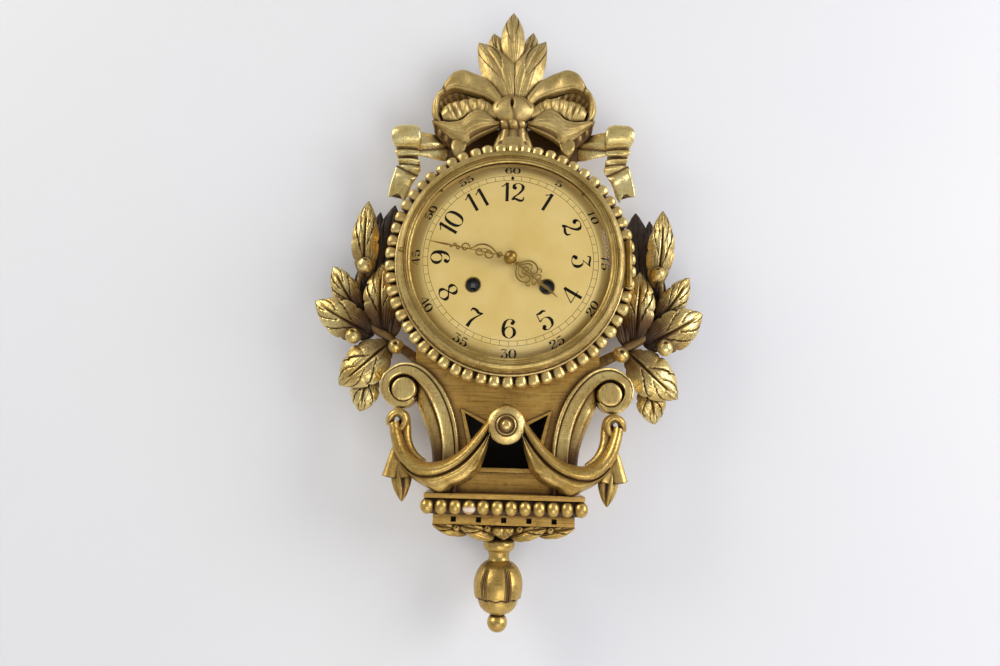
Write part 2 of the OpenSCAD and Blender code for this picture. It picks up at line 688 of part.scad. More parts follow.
module hanger_plate() color("#b08d3c") on_wall() difference() {
  translate([-22, hanger_up - 8, 0]) cube([44, 16, 2]);
  translate([0, hanger_up, -1]) cylinder(r = hanger_hole_r, h = 4);
  for (i = [-1, 1]) translate([i * 17, hanger_up, -1]) cylinder(r = 1.6, h = 4);
}

module hanger_screws() color("#b08d3c") on_wall()
  for (i = [-1, 1]) translate([i * 17, hanger_up, 1]) difference() {
    cylinder(r = 1.5, h = 7.5);
    translate([-2, -0.3, -1]) cube([4, 0.6, 1.6]);
  }

module plate_shape() {
  square([2 * plate_half_w, 2 * plate_half_h], center = true);
}

module front_plate() color("#c9a54f") on_wall() difference() {
  slab(plate_front - plate_t, plate_front) plate_shape();
  translate([0, 0, plate_front - 5]) cylinder(r = arbor_r + run_gap, h = 9);
  for (s = [-1, 1]) translate([s * winding_spacing / 2, -winding_drop, plate_front - 5])
    cylinder(r = winding_arbor_r + run_gap, h = 9);
  corners(pillar_x, pillar_y) translate([0, 0, plate_front - 5]) cylinder(r = 1.6, h = 9);
}

module back_plate() color("#c9a54f") on_wall() difference() {
  slab(plate_back, plate_back + plate_t) plate_shape();
  translate([0, 0, plate_back - 2]) cylinder(r = arbor_r + run_gap, h = 9);
  for (s = [-1, 1]) translate([s * winding_spacing / 2, -winding_drop, plate_back - 2])
    cylinder(r = 1.5 + run_gap, h = 9);
  translate([0, pendulum_hinge_y, plate_back - 2]) cylinder(r = 1.5 + run_gap, h = 9);
}

module plate_pillars() color("#b98f42") on_wall() corners(pillar_x, pillar_y)
  translate([0, 0, plate_back + plate_t]) cylinder(r = 2.5, h = plate_gap);

module movement_straps() color("#b98f42") on_wall() for (s = [-1, 1]) difference() {
  translate([-strap_half, s * pillar_y - 5, plate_front]) cube([2 * strap_half, 10, 2]);
  for (i = [5 - strap_half, -pillar_x, pillar_x, strap_half - 5])
    translate([i, s * pillar_y, plate_front - 1]) cylinder(r = 1.6, h = 4);
}

module strap_screws() color("#8f8f92") on_wall() {
  corners(strap_half - 5, pillar_y) translate([0, 0, plate_front]) mirror([0, 0, 1]) screw(1.5, 4.4, 3, 1.8);
  corners(pillar_x, pillar_y) translate([0, 0, seat_back]) screw(1.5, plate_t + 2, 3, 1.8);
}

module barrel() color("#c9a54f") on_wall() difference() {
  union() {
    translate([0, 0, plate_back + plate_t + 8]) cylinder(r = barrel_r, h = 20);
    translate([0, 0, plate_back + plate_t + 6]) cylinder(r = 6, h = 24);
  }
  translate([0, 0, plate_back]) cylinder(r = winding_arbor_r + run_gap, h = 50);
}

module going_barrel() translate([winding_spacing / 2, 0, -winding_drop]) barrel();

module strike_barrel() translate([-winding_spacing / 2, 0, -winding_drop]) barrel();

// Ratchet wheel, arbor and winding square
module winding_arbor() color("#9a9a9c") on_wall() {
  translate([0, 0, plate_back]) cylinder(r = 1.5, h = plate_t + 0.4);
  translate([0, 0, plate_back + plate_t + 0.3]) cylinder(r = winding_arbor_r, h = plate_gap + plate_t + 0.2);
  slab(plate_front + 0.4, plate_front + 2) gear(24, 0.75, 0.5);
  translate([0, 0, plate_front + 0.4]) cylinder(r = winding_arbor_r, h = 2.6);
  translate([-winding_square / 2, -winding_square / 2, plate_front + 2.8])
    cube([winding_square, winding_square, dial_back - plate_front - 5]);
}

module winding_arbor_left() translate([-winding_spacing / 2, 0, -winding_drop]) winding_arbor();

module winding_arbor_right() translate([winding_spacing / 2, 0, -winding_drop]) winding_arbor();

module minute_stud() color("#9a9a9c") on_wall() translate([gear_distance, 0, plate_front]) {
  cylinder(r = 1.5, h = 8.4);
  translate([0, 0, 7.2]) cylinder(r = 2.4, h = 1.2);
}

module suspension_cock() color("#b98f42") on_wall() difference() {
  translate([-6, pendulum_hinge_y + 2, pendulum_out - 5]) cube([12, 9, plate_back - pendulum_out + 5]);
  translate([0, 0, pendulum_out]) translate([-7, pendulum_hinge_y + 1, -0.2]) cube([14, 5, 0.4]);
}

module gong_block() color("#5a5a5e") on_wall() translate([gong_x - 8, gong_y, back_t]) cube([16, 12, 13]);

module gong_rod() color("#6d6d72") on_wall() {
  translate([gong_x, gong_y, 20]) rotate([90, 0, 0]) cylinder(r = 1.6, h = 2 * gong_y + 8);
}

// Stepped moulding of the bezel, from its back outer edge round to the glass
module bezel_ring() color("#a58a4c") on_wall() difference() {
  turned([[glass_edge_r + 0.3, bezel_back], [bezel_r, bezel_back], [bezel_r, bezel_face - 6],
          [bezel_r - 0.8, bezel_face - 3], [bezel_r - 2.6, bezel_face - 0.6], [bezel_r - 5, bezel_face],
          [bezel_r - 6.4, bezel_face - 0.4], [bezel_r - 6.8, bezel_face - 1.3],
          [bezel_r - 8, bezel_face - 1.1], [bezel_r - 8.4, bezel_face - 1.8],
          [bezel_r - 9.4, bezel_face - 1.6], [sight_r + 2.4, glass_rim_front + 0.9],
          [sight_r + 1, glass_rim_front + 1.1], [sight_r, glass_rim_front + 0.6],
          [sight_r, glass_rim_front], [glass_edge_r + 0.3, glass_rim_front]]);
  translate([bezel_r - 4.1, -knuckle_mid / 2 - 0.1, hinge_out - 0.8]) cube([9, knuckle_mid + 0.2, 1.6]);
}

// Sphere radius that gives a cap of the given rise over a chord of radius c
function cap_r(c, rise) = (c * c + rise * rise) / (2 * rise);

module bezel_glass() color([0.85, 0.9, 0.92, 0.35]) on_wall() {
  chord = sight_r - 0.3;
  rise = glass_top - glass_rim_front;
  outer = cap_r(chord, rise);
  inner_c = chord - 0.4;
  inner = cap_r(inner_c, rise);
  steps = 16;
  turned(concat([[0, glass_top - glass_t]],
                [for (i = [1:steps]) let (r = inner_c * i / steps)
                   [r, glass_top - glass_t - inner + sqrt(inner * inner - r * r)]],
                [[glass_edge_r, glass_rim_back], [glass_edge_r, glass_rim_front]],
                [for (i = [steps:-1:0]) let (r = chord * i / steps)
                   [r, glass_top - outer + sqrt(outer * outer - r * r)]]));
}

module bezel_pull() color("#a5854a") on_wall() translate([-bezel_r + 5, 3, bezel_face]) {
  cylinder(r = 1.3, h = 2.6);
  translate([0, 0, 4]) sphere(2.2);
}

// Hands point up here and are turned to the time shown
module hand_at(angle) {
  rotate(-angle) children();
}

module minute_hand() color("#c9a54f") on_wall() hand_at(minute_at) slab(minute_level, minute_level + hand_t)
  difference() {
    union() {
      circle(5);
      for (i = [0:3]) translate([0, 12 + 7.5 * i]) difference() {
        circle(4.2 - 0.5 * i);
        circle(2.6 - 0.5 * i);
      }
      polygon([[-2, 3], [2, 3], [1.6, 9], [-1.6, 9]]);
      for (i = [0:2]) translate([-0.9, 15 + 7.5 * i]) square([1.8, 2.4]);
      polygon([[-1.5, 36], [1.5, 36], [2.4, 42], [1.1, 46], [1.6, 52], [0.4, minute_len], [-0.4, minute_len],
               [-1.6, 52], [-1.1, 46], [-2.4, 42]]);
    }
    circle(cannon_r);
  }

module hour_hand() color("#c9a54f") on_wall() hand_at(hour_at) slab(hour_level, hour_level + hand_t)
  difference() {
  union() {
    circle(6);
    polygon([[-2.4, 4], [2.4, 4], [2, 12], [-2, 12]]);
    for (s = [-1, 1]) translate([s * 4.2, 16]) difference() {
      circle(5);
      circle(2.8);
    }
    for (s = [-1, 1]) translate([s * 3.2, 25]) difference() {
      circle(4);
      circle(2.2);
    }
    translate([-1, 10]) square([2, 20]);
    polygon([[-2, 28], [2, 28], [2.8, 33], [1.2, 38], [0.5, hour_len], [-0.5, hour_len], [-1.2, 38],
             [-2.8, 33]]);
  }
  circle(hour_pipe_r);
}

// Centre arbor with the cannon pinion fixed to it
module center_arbor() color("#9a9a9c") on_wall() {
  translate([0, 0, plate_back]) cylinder(r = arbor_r, h = minute_level + hand_t + 3 - plate_back);
  translate([0, 0, plate_front + 0.4]) cylinder(r = cannon_r, h = minute_level + hand_t - plate_front - 0.4);
  slab(plate_front + 1, plate_front + 3.4) gear(cannon_teeth, cannon_module, 0.5, 0);
}

module hand_nut() color("#c2a55a") on_wall() difference() {
  base = minute_level + hand_t;
  turned([[0, base], [4.6, base], [4.6, base + 1.2], [5.7, base + 1.6], [5.7, base + 3], [5, base + 5],
          [3.4, base + 6.6], [1.6, base + 7.4], [0, base + 7.6]]);
  translate([0, 0, base - 1]) cylinder(r = arbor_r + 0.03, h = 4.2);
}

module hour_wheel() color("#c9a54f") on_wall() difference() {
  union() {
    slab(plate_front + 4.2, plate_front + 5.6) gear(hour_teeth, hour_module, 1, 180 / hour_teeth);
    translate([0, 0, plate_front + 4.2])
      cylinder(r = hour_pipe_r, h = hour_level + hand_t - plate_front - 4.2);
  }
  translate([0, 0, plate_front]) cylinder(r = cannon_r + run_gap, h = 30);
}

module minute_wheel() color("#c9a54f") on_wall() translate([gear_distance, 0, 0]) difference() {
  union() {
    slab(plate_front + 1.4, plate_front + 2.8)
      gear(minute_teeth, cannon_module, 1, 180 - 180 / minute_teeth);
    slab(plate_front + 2.8, plate_front + 6.6) gear(pinion_teeth, hour_module, 1, 0);
    translate([0, 0, plate_front + 0.4]) cylinder(r = 3, h = 2.4);
  }
  translate([0, 0, plate_front]) cylinder(r = 1.5 + run_gap, h = 20);
}

module pendulum() color("#c9a54f") on_wall() {
  bob_y = pendulum_hinge_y - pendulum_len;
  translate([-3, pendulum_hinge_y - 8, pendulum_out - 0.15]) cube([6, 9.6, 0.3]);
  translate([0, pendulum_hinge_y - 8, pendulum_out]) rotate([90, 0, 0])
    cylinder(r = 1.4, h = pendulum_len - 8 - bob_r + 2);
  translate([-3.6, pendulum_hinge_y - 11, pendulum_out - 2]) cube([7.2, 3.4, 4]);
  translate([0, bob_y, pendulum_out - 4]) rotate_extrude()
    polygon([[0, 0], [bob_r - 4, 0], [bob_r, 3], [bob_r, 5], [bob_r - 4, 8], [0, 8]]);
}

module crutch() color("#b98f42") on_wall() {
  translate([0, pendulum_hinge_y, plate_back - 4]) cylinder(r = 1.5, h = 8);
  translate([-1.5, 4, plate_back - 4]) cube([3, pendulum_hinge_y - 4, 1.4]);
  difference() {
    translate([-4, 2, pendulum_out - 2]) cube([8, 4, plate_back - pendulum_out - 0.6]);
    translate([-2, 1, pendulum_out - 3]) cube([4, 6, 5]);
  }
}

module strike_hammer() color("#9a9a9c") on_wall() {
  out = plate_back - 1.8;
  translate([40, -10, out]) cylinder(r = 3.4, h = 1.4);
  translate([38.8, -10, out]) cube([2.4, 42, 1.4]);
  translate([40, 32, 20]) rotate([0, 90, 0]) cylinder(r = 3.4, h = gong_x - 42.4);
  translate([38.8, 28.6, 18]) cube([2.4, 6.8, out - 17]);
}

back_board();
drum_wall();
dial_seat();
bead_ring();
waist_front();
waist_side_left();
waist_side_right();
scroll_left();
scroll_right();
rosette();
swag_left();
swag_right();
console_board();
console_beads();
console_fillet();
leaf_apron();
finial();
bow_leaves();
bow_knot();
bow_left();
bow_right();
crest_leaves();
ribbon_left();
ribbon_right();
spray_left();
spray_right();
dial();
dial_screws();
hinge_case();
hinge_pin();
hanger_plate();
hanger_screws();
front_plate();
back_plate();
plate_pillars();
movement_straps();
strap_screws();
going_barrel();
strike_barrel();
minute_stud();
suspension_cock();
gong_block();
gong_rod();
bezel_ring();
bezel_glass();
bezel_pull();
hinge_door();
minute_hand();
center_arbor();
hand_nut();
hour_hand();
hour_wheel();
minute_wheel();
winding_arbor_left();
winding_arbor_right();
pendulum();
crutch();
strike_hammer();
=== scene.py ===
import math
import random

import bmesh
import bpy
import numpy as np
from mathutils import Matrix, Vector


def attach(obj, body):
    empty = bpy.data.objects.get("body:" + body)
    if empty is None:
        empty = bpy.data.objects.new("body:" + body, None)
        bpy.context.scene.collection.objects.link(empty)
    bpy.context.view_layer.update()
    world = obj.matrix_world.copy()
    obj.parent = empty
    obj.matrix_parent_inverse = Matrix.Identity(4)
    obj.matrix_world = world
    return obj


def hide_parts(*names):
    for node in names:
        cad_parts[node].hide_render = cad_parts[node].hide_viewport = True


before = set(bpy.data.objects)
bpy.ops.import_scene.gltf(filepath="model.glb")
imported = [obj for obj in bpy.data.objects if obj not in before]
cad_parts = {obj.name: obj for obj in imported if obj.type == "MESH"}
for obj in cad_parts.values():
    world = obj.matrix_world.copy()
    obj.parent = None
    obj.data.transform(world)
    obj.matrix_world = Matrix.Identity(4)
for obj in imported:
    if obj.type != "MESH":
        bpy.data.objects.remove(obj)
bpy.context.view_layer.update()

# The clock is drawn in wall coordinates, in millimetres: x to the right, y up, d out from the wall.
MM = 0.001
rng = random.Random(11)


# ---- colours, nodes and materials ----

def linear(code):
    """A colour written as sRGB hex, turned to linear light."""
    parts = [int(code[i:i + 2], 16) / 255 for i in (1, 3, 5)]
    return tuple(c / 12.92 if c <= 0.04045 else ((c + 0.055) / 1.055) ** 2.4 for c in parts) + (1.0,)


def add(tree, kind, inputs=(), **settings):
    """Adds a node with its settings; an input is a value, a hex colour, a socket, or a node for its first output."""
    node = tree.nodes.new(kind)
    for key, value in settings.items():
        setattr(node, key, value)
    for key, value in dict(inputs).items():
        if isinstance(value, bpy.types.Node):
            value = value.outputs[0]
        if isinstance(value, bpy.types.NodeSocket):
            tree.links.new(value, node.inputs[key])
        else:
            node.inputs[key].default_value = linear(value) if isinstance(value, str) else value
    return node


def blank(name):
    """A new material with its shader and the object's own coordinates in metres, so a pattern of n mm has scale
    1000 / n."""
    mat = bpy.data.materials.new(name)
    mat.use_nodes = True
    tree = mat.node_tree
    tree.nodes.clear()
    shader = add(tree, "ShaderNodeBsdfPrincipled")
    out = add(tree, "ShaderNodeOutputMaterial", {"Surface": shader})
    place = add(tree, "ShaderNodeTexCoord").outputs["Object"]
    return mat, tree, shader, place, out


# brown of wash and painted shade, the pinkish ground under the paint, the chalk under that, and rubbed paint with
# painted highlight
WASH_AND_SHADE, GROUND, CHALK, RUBBED_AND_HIGHLIGHT = "#63441F", "#B98E6E", "#E6D2BE", "#EAD6A0"


def giltwood(name, gold, light, deep, recess, reach_mm, metal, rough, worn=0.35, brush="carved", streak=0.45):
    """Carved limewood under brushed bronze paint: satin metal, brown left in the cuts, painted shade in the hollows
    and under the carving, painted highlight on arrises that are also rubbed, and the ground showing where hands have
    rubbed it. Gold, light and deep are the paint where it lies even, thick and thin, and recess is the dark brown,
    part wash and part painted shade, that reaches out of the hollows by reach_mm. Worn is how much ground shows, and
    streak how much the brush marks do. The brush goes both ways on carving, along a board, and round on turned work."""
    mat, tree, shader, place, _ = blank(name)
    # brush marks some 15 mm long; the hairs of a brush lie about 0.2 mm apart, which is too fine to show, so the
    # marks are drawn 0.6 to 1.3 mm apart
    if brush == "turned":
        flat = add(tree, "ShaderNodeSeparateXYZ", {0: place})
        across = add(tree, "ShaderNodeVectorMath", {0: place, 1: (1, 0, 1)}, operation="MULTIPLY")
        radius = add(tree, "ShaderNodeVectorMath", {0: across}, operation="LENGTH").outputs["Value"]
        angle = add(tree, "ShaderNodeMath", {0: flat.outputs[2], 1: flat.outputs[0]}, operation="ARCTAN2")
        angle = add(tree, "ShaderNodeMath", {0: angle, 1: 0.004}, operation="MULTIPLY")
        ring = add(tree, "ShaderNodeCombineXYZ", {0: radius, 1: angle, 2: flat.outputs[1]})
        stroke = add(tree, "ShaderNodeTexNoise", {"Vector": ring, "Scale": 1000 / 0.7, "Detail": 3.0,
                                                  "Roughness": 0.65})
    elif brush == "level":
        along = add(tree, "ShaderNodeVectorMath", {0: place, 1: (0.03, 1, 1)}, operation="MULTIPLY")
        stroke = add(tree, "ShaderNodeTexNoise", {"Vector": along, "Scale": 1000 / 1.3, "Detail": 4.0,
                                                  "Roughness": 0.7})
    else:
        turn = add(tree, "ShaderNodeTexNoise", {"Vector": place, "Scale": 1000 / 28, "Detail": 1.0})
        turn = add(tree, "ShaderNodeMapRange", {0: turn, 1: 0.46, 2: 0.54})
        hairs = []
        for way in ((1, 1, 0.04), (0.03, 1, 1)):
            drawn = add(tree, "ShaderNodeVectorMath", {0: place, 1: way}, operation="MULTIPLY")
            hairs.append(add(tree, "ShaderNodeTexNoise", {"Vector": drawn, "Scale": 1000 / 0.6, "Detail": 2.0}))
        stroke = add(tree, "ShaderNodeMix", {0: turn, 2: hairs[0], 3: hairs[1]}, data_type="FLOAT")
    # the paint lies thicker and thinner in clouds of 22 mm, patches of 5.5 mm and specks of 1.1 mm
    cloud = add(tree, "ShaderNodeTexNoise", {"Vector": place, "Scale": 1000 / 22, "Detail": 3.0})
    patch = add(tree, "ShaderNodeTexNoise", {"Vector": place, "Scale": 1000 / 5.5, "Detail": 3.0, "Roughness": 0.6})
    speck = add(tree, "ShaderNodeTexNoise", {"Vector": place, "Scale": 1000 / 1.1, "Detail": 2.0})
    colour = gold
    coats = ((cloud, 0.35, 0.68, 0.0, 1.0, light), (patch, 0.5, 0.72, 0.0, 0.6, deep),
             (stroke, 0.5, 0.68, 0.0, streak, light), (stroke, 0.32, 0.48, streak, 0.0, deep))
    for layer, low, high, least, most, tone in coats:
        part = add(tree, "ShaderNodeMapRange", {0: layer, 1: low, 2: high, 3: least, 4: most})
        colour = add(tree, "ShaderNodeMix", {0: part, 6: colour, 7: tone}, data_type="RGBA").outputs[2]
    if brush != "level":
        # arrises of the carving lighter: partly paint rubbed bright, partly painted highlight
        arris = add(tree, "ShaderNodeNewGeometry").outputs["Pointiness"]
        arris = add(tree, "ShaderNodeMapRange", {0: arris, 1: 0.53, 2: 0.62, 3: 0.0, 4: 0.55})
        colour = add(tree, "ShaderNodeMix", {0: arris, 6: colour, 7: RUBBED_AND_HIGHLIGHT}, data_type="RGBA").outputs[2]
    # brown wash that stays in the cuts, and painted shade in the hollows and under the leaves, where ambient
    # occlusion finds them
    shade = add(tree, "ShaderNodeAmbientOcclusion", {"Distance": reach_mm * MM}, samples=6).outputs["AO"]
    wash_and_shade = add(tree, "ShaderNodeMapRange", {0: shade, 1: 0.3, 2: 0.9, 3: 1.0, 4: 0.0})
    cut = add(tree, "ShaderNodeAttribute", attribute_name="cuts_and_shade").outputs["Fac"]
    cut = add(tree, "ShaderNodeMath", {0: cut, 1: 1.05}, operation="MULTIPLY", use_clamp=True)
    wash_and_shade = add(tree, "ShaderNodeMath", {0: wash_and_shade, 1: cut}, operation="MAXIMUM")
    uneven = add(tree, "ShaderNodeMapRange", {0: patch, 1: 0.25, 2: 0.6, 3: 0.85, 4: 1.0})
    wash_and_shade = add(tree, "ShaderNodeMath", {0: wash_and_shade, 1: uneven}, operation="MULTIPLY")
    # two steps of brown: wash and painted shade, then the darker recess brown
    for low, high, tone in ((0.0, 0.5, WASH_AND_SHADE), (0.5, 1.0, recess)):
        part = add(tree, "ShaderNodeMapRange", {0: wash_and_shade, 1: low, 2: high})
        colour = add(tree, "ShaderNodeMix", {0: part, 6: colour, 7: tone}, data_type="RGBA").outputs[2]
    # spots some 13 mm apart that are rubbed down to the ground, and chips down to the chalk
    rub = add(tree, "ShaderNodeTexNoise", {"Vector": place, "Scale": 1000 / 13, "Detail": 4.0, "Roughness": 0.62})
    rub = add(tree, "ShaderNodeMapRange", {0: rub, 1: 0.665, 2: 0.70, 3: 0.0, 4: worn})
    bare = add(tree, "ShaderNodeMath", {0: 1.0, 1: wash_and_shade}, operation="SUBTRACT")
    rub = add(tree, "ShaderNodeMath", {0: rub, 1: bare}, operation="MULTIPLY")
    chipped = add(tree, "ShaderNodeAttribute", attribute_name="chipped").outputs["Fac"]
    rub = add(tree, "ShaderNodeMath", {0: rub, 1: chipped}, operation="MAXIMUM")
    ground = add(tree, "ShaderNodeMix", {0: chipped, 6: GROUND, 7: CHALK}, data_type="RGBA").outputs[2]
    colour = add(tree, "ShaderNodeMix", {0: rub, 6: colour, 7: ground}, data_type="RGBA").outputs[2]
    tree.links.new(colour, shader.inputs["Base Color"])
    hidden = add(tree, "ShaderNodeMath", {0: wash_and_shade, 1: rub}, operation="MAXIMUM")
    sheen = add(tree, "ShaderNodeMapRange", {0: hidden, 1: 0.1, 2: 1.0, 3: metal, 4: 0.12})
    tree.links.new(sheen.outputs[0], shader.inputs["Metallic"])
    gloss = add(tree, "ShaderNodeMapRange", {0: patch, 1: 0.3, 2: 0.7, 3: rough - 0.07, 4: rough + 0.1})
    dull = add(tree, "ShaderNodeMath", {0: hidden, 1: 0.3}, operation="MULTIPLY")
    gloss = add(tree, "ShaderNodeMath", {0: gloss, 1: dull}, operation="ADD")
    tree.links.new(gloss.outputs[0], shader.inputs["Roughness"])
    grain = add(tree, "ShaderNodeMath", {0: speck, 1: 0.5}, operation="MULTIPLY")
    grain = add(tree, "ShaderNodeMath", {0: stroke, 1: grain}, operation="ADD")
    skin_of_paint = add(tree, "ShaderNodeBump", {"Height": grain, "Distance": 0.12 * MM})
    # the gouge leaves the wood uneven by some 0.4 mm
    tool_marks = add(tree, "ShaderNodeBump", {"Height": patch, "Distance": 0.4 * MM, "Normal": skin_of_paint})
    tree.links.new(tool_marks.outputs[0], shader.inputs["Normal"])
    return mat


# the same paint wherever it is, in copies set lighter or darker for each group of pieces, painting in part of the
# light and shade on them
GILT = giltwood("bronze_painted_limewood", "#D3AF65", "#F1D78D", "#91743A", "#1D120A", 4, 0.82, 0.29)
GILT_WARM = giltwood("bronze_painted_limewood_low", "#B59146", "#DAB96C", "#74592A", "#180E07", 4, 0.84, 0.31)
GILT_PALE = giltwood("bronze_painted_limewood_ribbons", "#DEC479", "#F4E4A6", "#A08648", "#22170B", 4, 0.82, 0.29)
GILT_CREST = giltwood("bronze_painted_limewood_crest", "#BA9E5D", "#D2B878", "#87703F", "#37250F", 4, 0.78, 0.42)
GILT_DARK = giltwood("bronze_painted_limewood_sprays", "#CFAE62", "#F8E49E", "#7C5F2F", "#291A0E", 4.5, 0.82, 0.26)
GILT_PLAIN = giltwood("bronze_painted_boards", "#BC9045", "#D8AE5C", "#7C5C26", "#1E1309", 7, 0.8, 0.34,
                      brush="level", streak=0.7)
GILT_BEZEL = giltwood("bronze_painted_turning", "#A88A47", "#D0B46B", "#775B2B", "#2A1C0C", 2.2, 0.85, 0.32, 0.2,
                      "turned", 0.6)


def bare_wood():
    """Stained softwood at the back: brown, close straight grain, no varnish."""
    mat, tree, shader, place, _ = blank("stained_pine")
    along = add(tree, "ShaderNodeVectorMath", {0: place, 1: (1, 1, 0.03)}, operation="MULTIPLY")
    grain = add(tree, "ShaderNodeTexNoise", {"Vector": along, "Scale": 1000 / 1.2, "Detail": 4.0})
    year = add(tree, "ShaderNodeTexNoise", {"Vector": along, "Scale": 1000 / 7, "Detail": 2.0})
    part = add(tree, "ShaderNodeMapRange", {0: year, 1: 0.35, 2: 0.65})
    colour = add(tree, "ShaderNodeMix", {0: part, 6: "#5A3B20", 7: "#7B552F"}, data_type="RGBA").outputs[2]
    part = add(tree, "ShaderNodeMapRange", {0: grain, 1: 0.4, 2: 0.75, 3: 0.0, 4: 0.6})
    colour = add(tree, "ShaderNodeMix", {0: part, 6: colour, 7: "#3A2412"}, data_type="RGBA").outputs[2]
    # inside the case the faces towards the room are painted near black as painted shade
    facing = add(tree, "ShaderNodeSeparateXYZ", {0: add(tree, "ShaderNodeNewGeometry").outputs["Normal"]})
    inner = add(tree, "ShaderNodeMath", {0: facing.outputs[1], 1: -0.5}, operation="LESS_THAN")
    colour = add(tree, "ShaderNodeMix", {0: inner, 6: colour, 7: "#0B0806"}, data_type="RGBA").outputs[2]
    tree.links.new(colour, shader.inputs["Base Color"])
    shader.inputs["Roughness"].default_value = 0.68
    pores = add(tree, "ShaderNodeBump", {"Height": grain, "Distance": 0.12 * MM})
    tree.links.new(pores.outputs[0], shader.inputs["Normal"])
    return mat


def worked_metal(name, bright, dull, rough, line_mm=0.25, stretch=(1, 1, 0.03)):
    """Rolled or turned metal: warm brass or grey steel with fine lines from the file or the lathe, and some
    tarnish. The real lines are about 0.05 mm apart and are drawn coarser, so that they show."""
    mat, tree, shader, place, _ = blank(name)
    drawn = add(tree, "ShaderNodeVectorMath", {0: place, 1: stretch}, operation="MULTIPLY")
    lines = add(tree, "ShaderNodeTexNoise", {"Vector": drawn, "Scale": 1000 / line_mm, "Detail": 2.0})
    tarnish = add(tree, "ShaderNodeTexNoise", {"Vector": place, "Scale": 1000 / 9, "Detail": 4.0})
    part = add(tree, "ShaderNodeMapRange", {0: tarnish, 1: 0.35, 2: 0.7})
    colour = add(tree, "ShaderNodeMix", {0: part, 6: bright, 7: dull}, data_type="RGBA").outputs[2]
    tree.links.new(colour, shader.inputs["Base Color"])
    shader.inputs["Metallic"].default_value = 1.0
    gloss = add(tree, "ShaderNodeMapRange", {0: tarnish, 1: 0.3, 2: 0.7, 3: rough, 4: rough + 0.14})
    tree.links.new(gloss.outputs[0], shader.inputs["Roughness"])
    marks = add(tree, "ShaderNodeBump", {"Height": lines, "Distance": 0.012 * MM})
    tree.links.new(marks.outputs[0], shader.inputs["Normal"])
    return mat


def dial_gilt():
    """Matt gilt sheet: silky from fine blasting, even in the middle, with painted shade that makes it darker and
    warmer out to the rim. The grit is drawn at 0.35 mm, coarser than real, so that it shows."""
    mat, tree, shader, place, _ = blank("matt_gilt_dial")
    flat = add(tree, "ShaderNodeVectorMath", {0: place, 1: (1, 0, 1)}, operation="MULTIPLY")
    radius = add(tree, "ShaderNodeVectorMath", {0: flat}, operation="LENGTH").outputs["Value"]
    blast = add(tree, "ShaderNodeTexNoise", {"Vector": place, "Scale": 1000 / 0.35, "Detail": 2.0})
    cloud = add(tree, "ShaderNodeTexNoise", {"Vector": place, "Scale": 1000 / 30, "Detail": 3.0})
    part = add(tree, "ShaderNodeMapRange", {0: cloud, 1: 0.3, 2: 0.7})
    colour = add(tree, "ShaderNodeMix", {0: part, 6: "#E3C87F", 7: "#D9BB6A"}, data_type="RGBA").outputs[2]
    # painted shade on the margin from 84 to 93 mm, under the bezel and the glass's edge
    part = add(tree, "ShaderNodeMapRange", {0: radius, 1: 0.084, 2: 0.093, 3: 0.0, 4: 0.55})
    colour = add(tree, "ShaderNodeMix", {0: part, 6: colour, 7: "#BC9240"}, data_type="RGBA").outputs[2]
    tree.links.new(colour, shader.inputs["Base Color"])
    shader.inputs["Metallic"].default_value = 0.15
    gloss = add(tree, "ShaderNodeMapRange", {0: cloud, 1: 0.3, 2: 0.7, 3: 0.50, 4: 0.58})
    tree.links.new(gloss.outputs[0], shader.inputs["Roughness"])
    matt = add(tree, "ShaderNodeBump", {"Height": blast, "Distance": 0.015 * MM})
    tree.links.new(matt.outputs[0], shader.inputs["Normal"])
    return mat


def clock_glass():
    """Clear blown glass: no colour, weak sharp reflections that grow towards its edge, and a slight wave."""
    mat, tree, shader, place, _ = blank("convex_clock_glass")
    shader.inputs["Base Color"].default_value = (1, 1, 1, 1)
    shader.inputs["Metallic"].default_value = 1.0
    shader.inputs["Roughness"].default_value = 0.03
    edge_on = add(tree, "ShaderNodeFresnel", {"IOR": 1.45})
    weak = add(tree, "ShaderNodeMapRange", {0: edge_on, 1: 0.0, 2: 1.0, 3: 0.0, 4: 0.14})
    tree.links.new(weak.outputs[0], shader.inputs["Alpha"])
    wave = add(tree, "ShaderNodeTexNoise", {"Vector": place, "Scale": 1000 / 35, "Detail": 1.0})
    blown = add(tree, "ShaderNodeBump", {"Height": wave, "Distance": 0.02 * MM})
    tree.links.new(blown.outputs[0], shader.inputs["Normal"])
    return mat


def dial_ink():
    """Printing ink on the dial: brown-black, slightly thin where the block pressed lightly."""
    mat, tree, shader, place, _ = blank("dial_ink")
    thin = add(tree, "ShaderNodeTexNoise", {"Vector": place, "Scale": 1000 / 0.9, "Detail": 3.0})
    part = add(tree, "ShaderNodeMapRange", {0: thin, 1: 0.45, 2: 0.8, 3: 0.0, 4: 0.4})
    colour = add(tree, "ShaderNodeMix", {0: part, 6: "#140D06", 7: "#2E2010"}, data_type="RGBA").outputs[2]
    tree.links.new(colour, shader.inputs["Base Color"])
    shader.inputs["Roughness"].default_value = 0.6
    shader.inputs["Specular IOR Level"].default_value = 0.1
    return mat


def black_lacquer():
    """Black lacquer on cast iron, slightly orange-peeled."""
    mat, tree, shader, place, _ = blank("black_lacquered_iron")
    peel = add(tree, "ShaderNodeTexNoise", {"Vector": place, "Scale": 1000 / 1.5, "Detail": 2.0})
    colour = add(tree, "ShaderNodeMix", {0: peel, 6: "#15130F", 7: "#262019"}, data_type="RGBA").outputs[2]
    tree.links.new(colour, shader.inputs["Base Color"])
    shader.inputs["Roughness"].default_value = 0.45
    coat = add(tree, "ShaderNodeBump", {"Height": peel, "Distance": 0.03 * MM})
    tree.links.new(coat.outputs[0], shader.inputs["Normal"])
    return mat


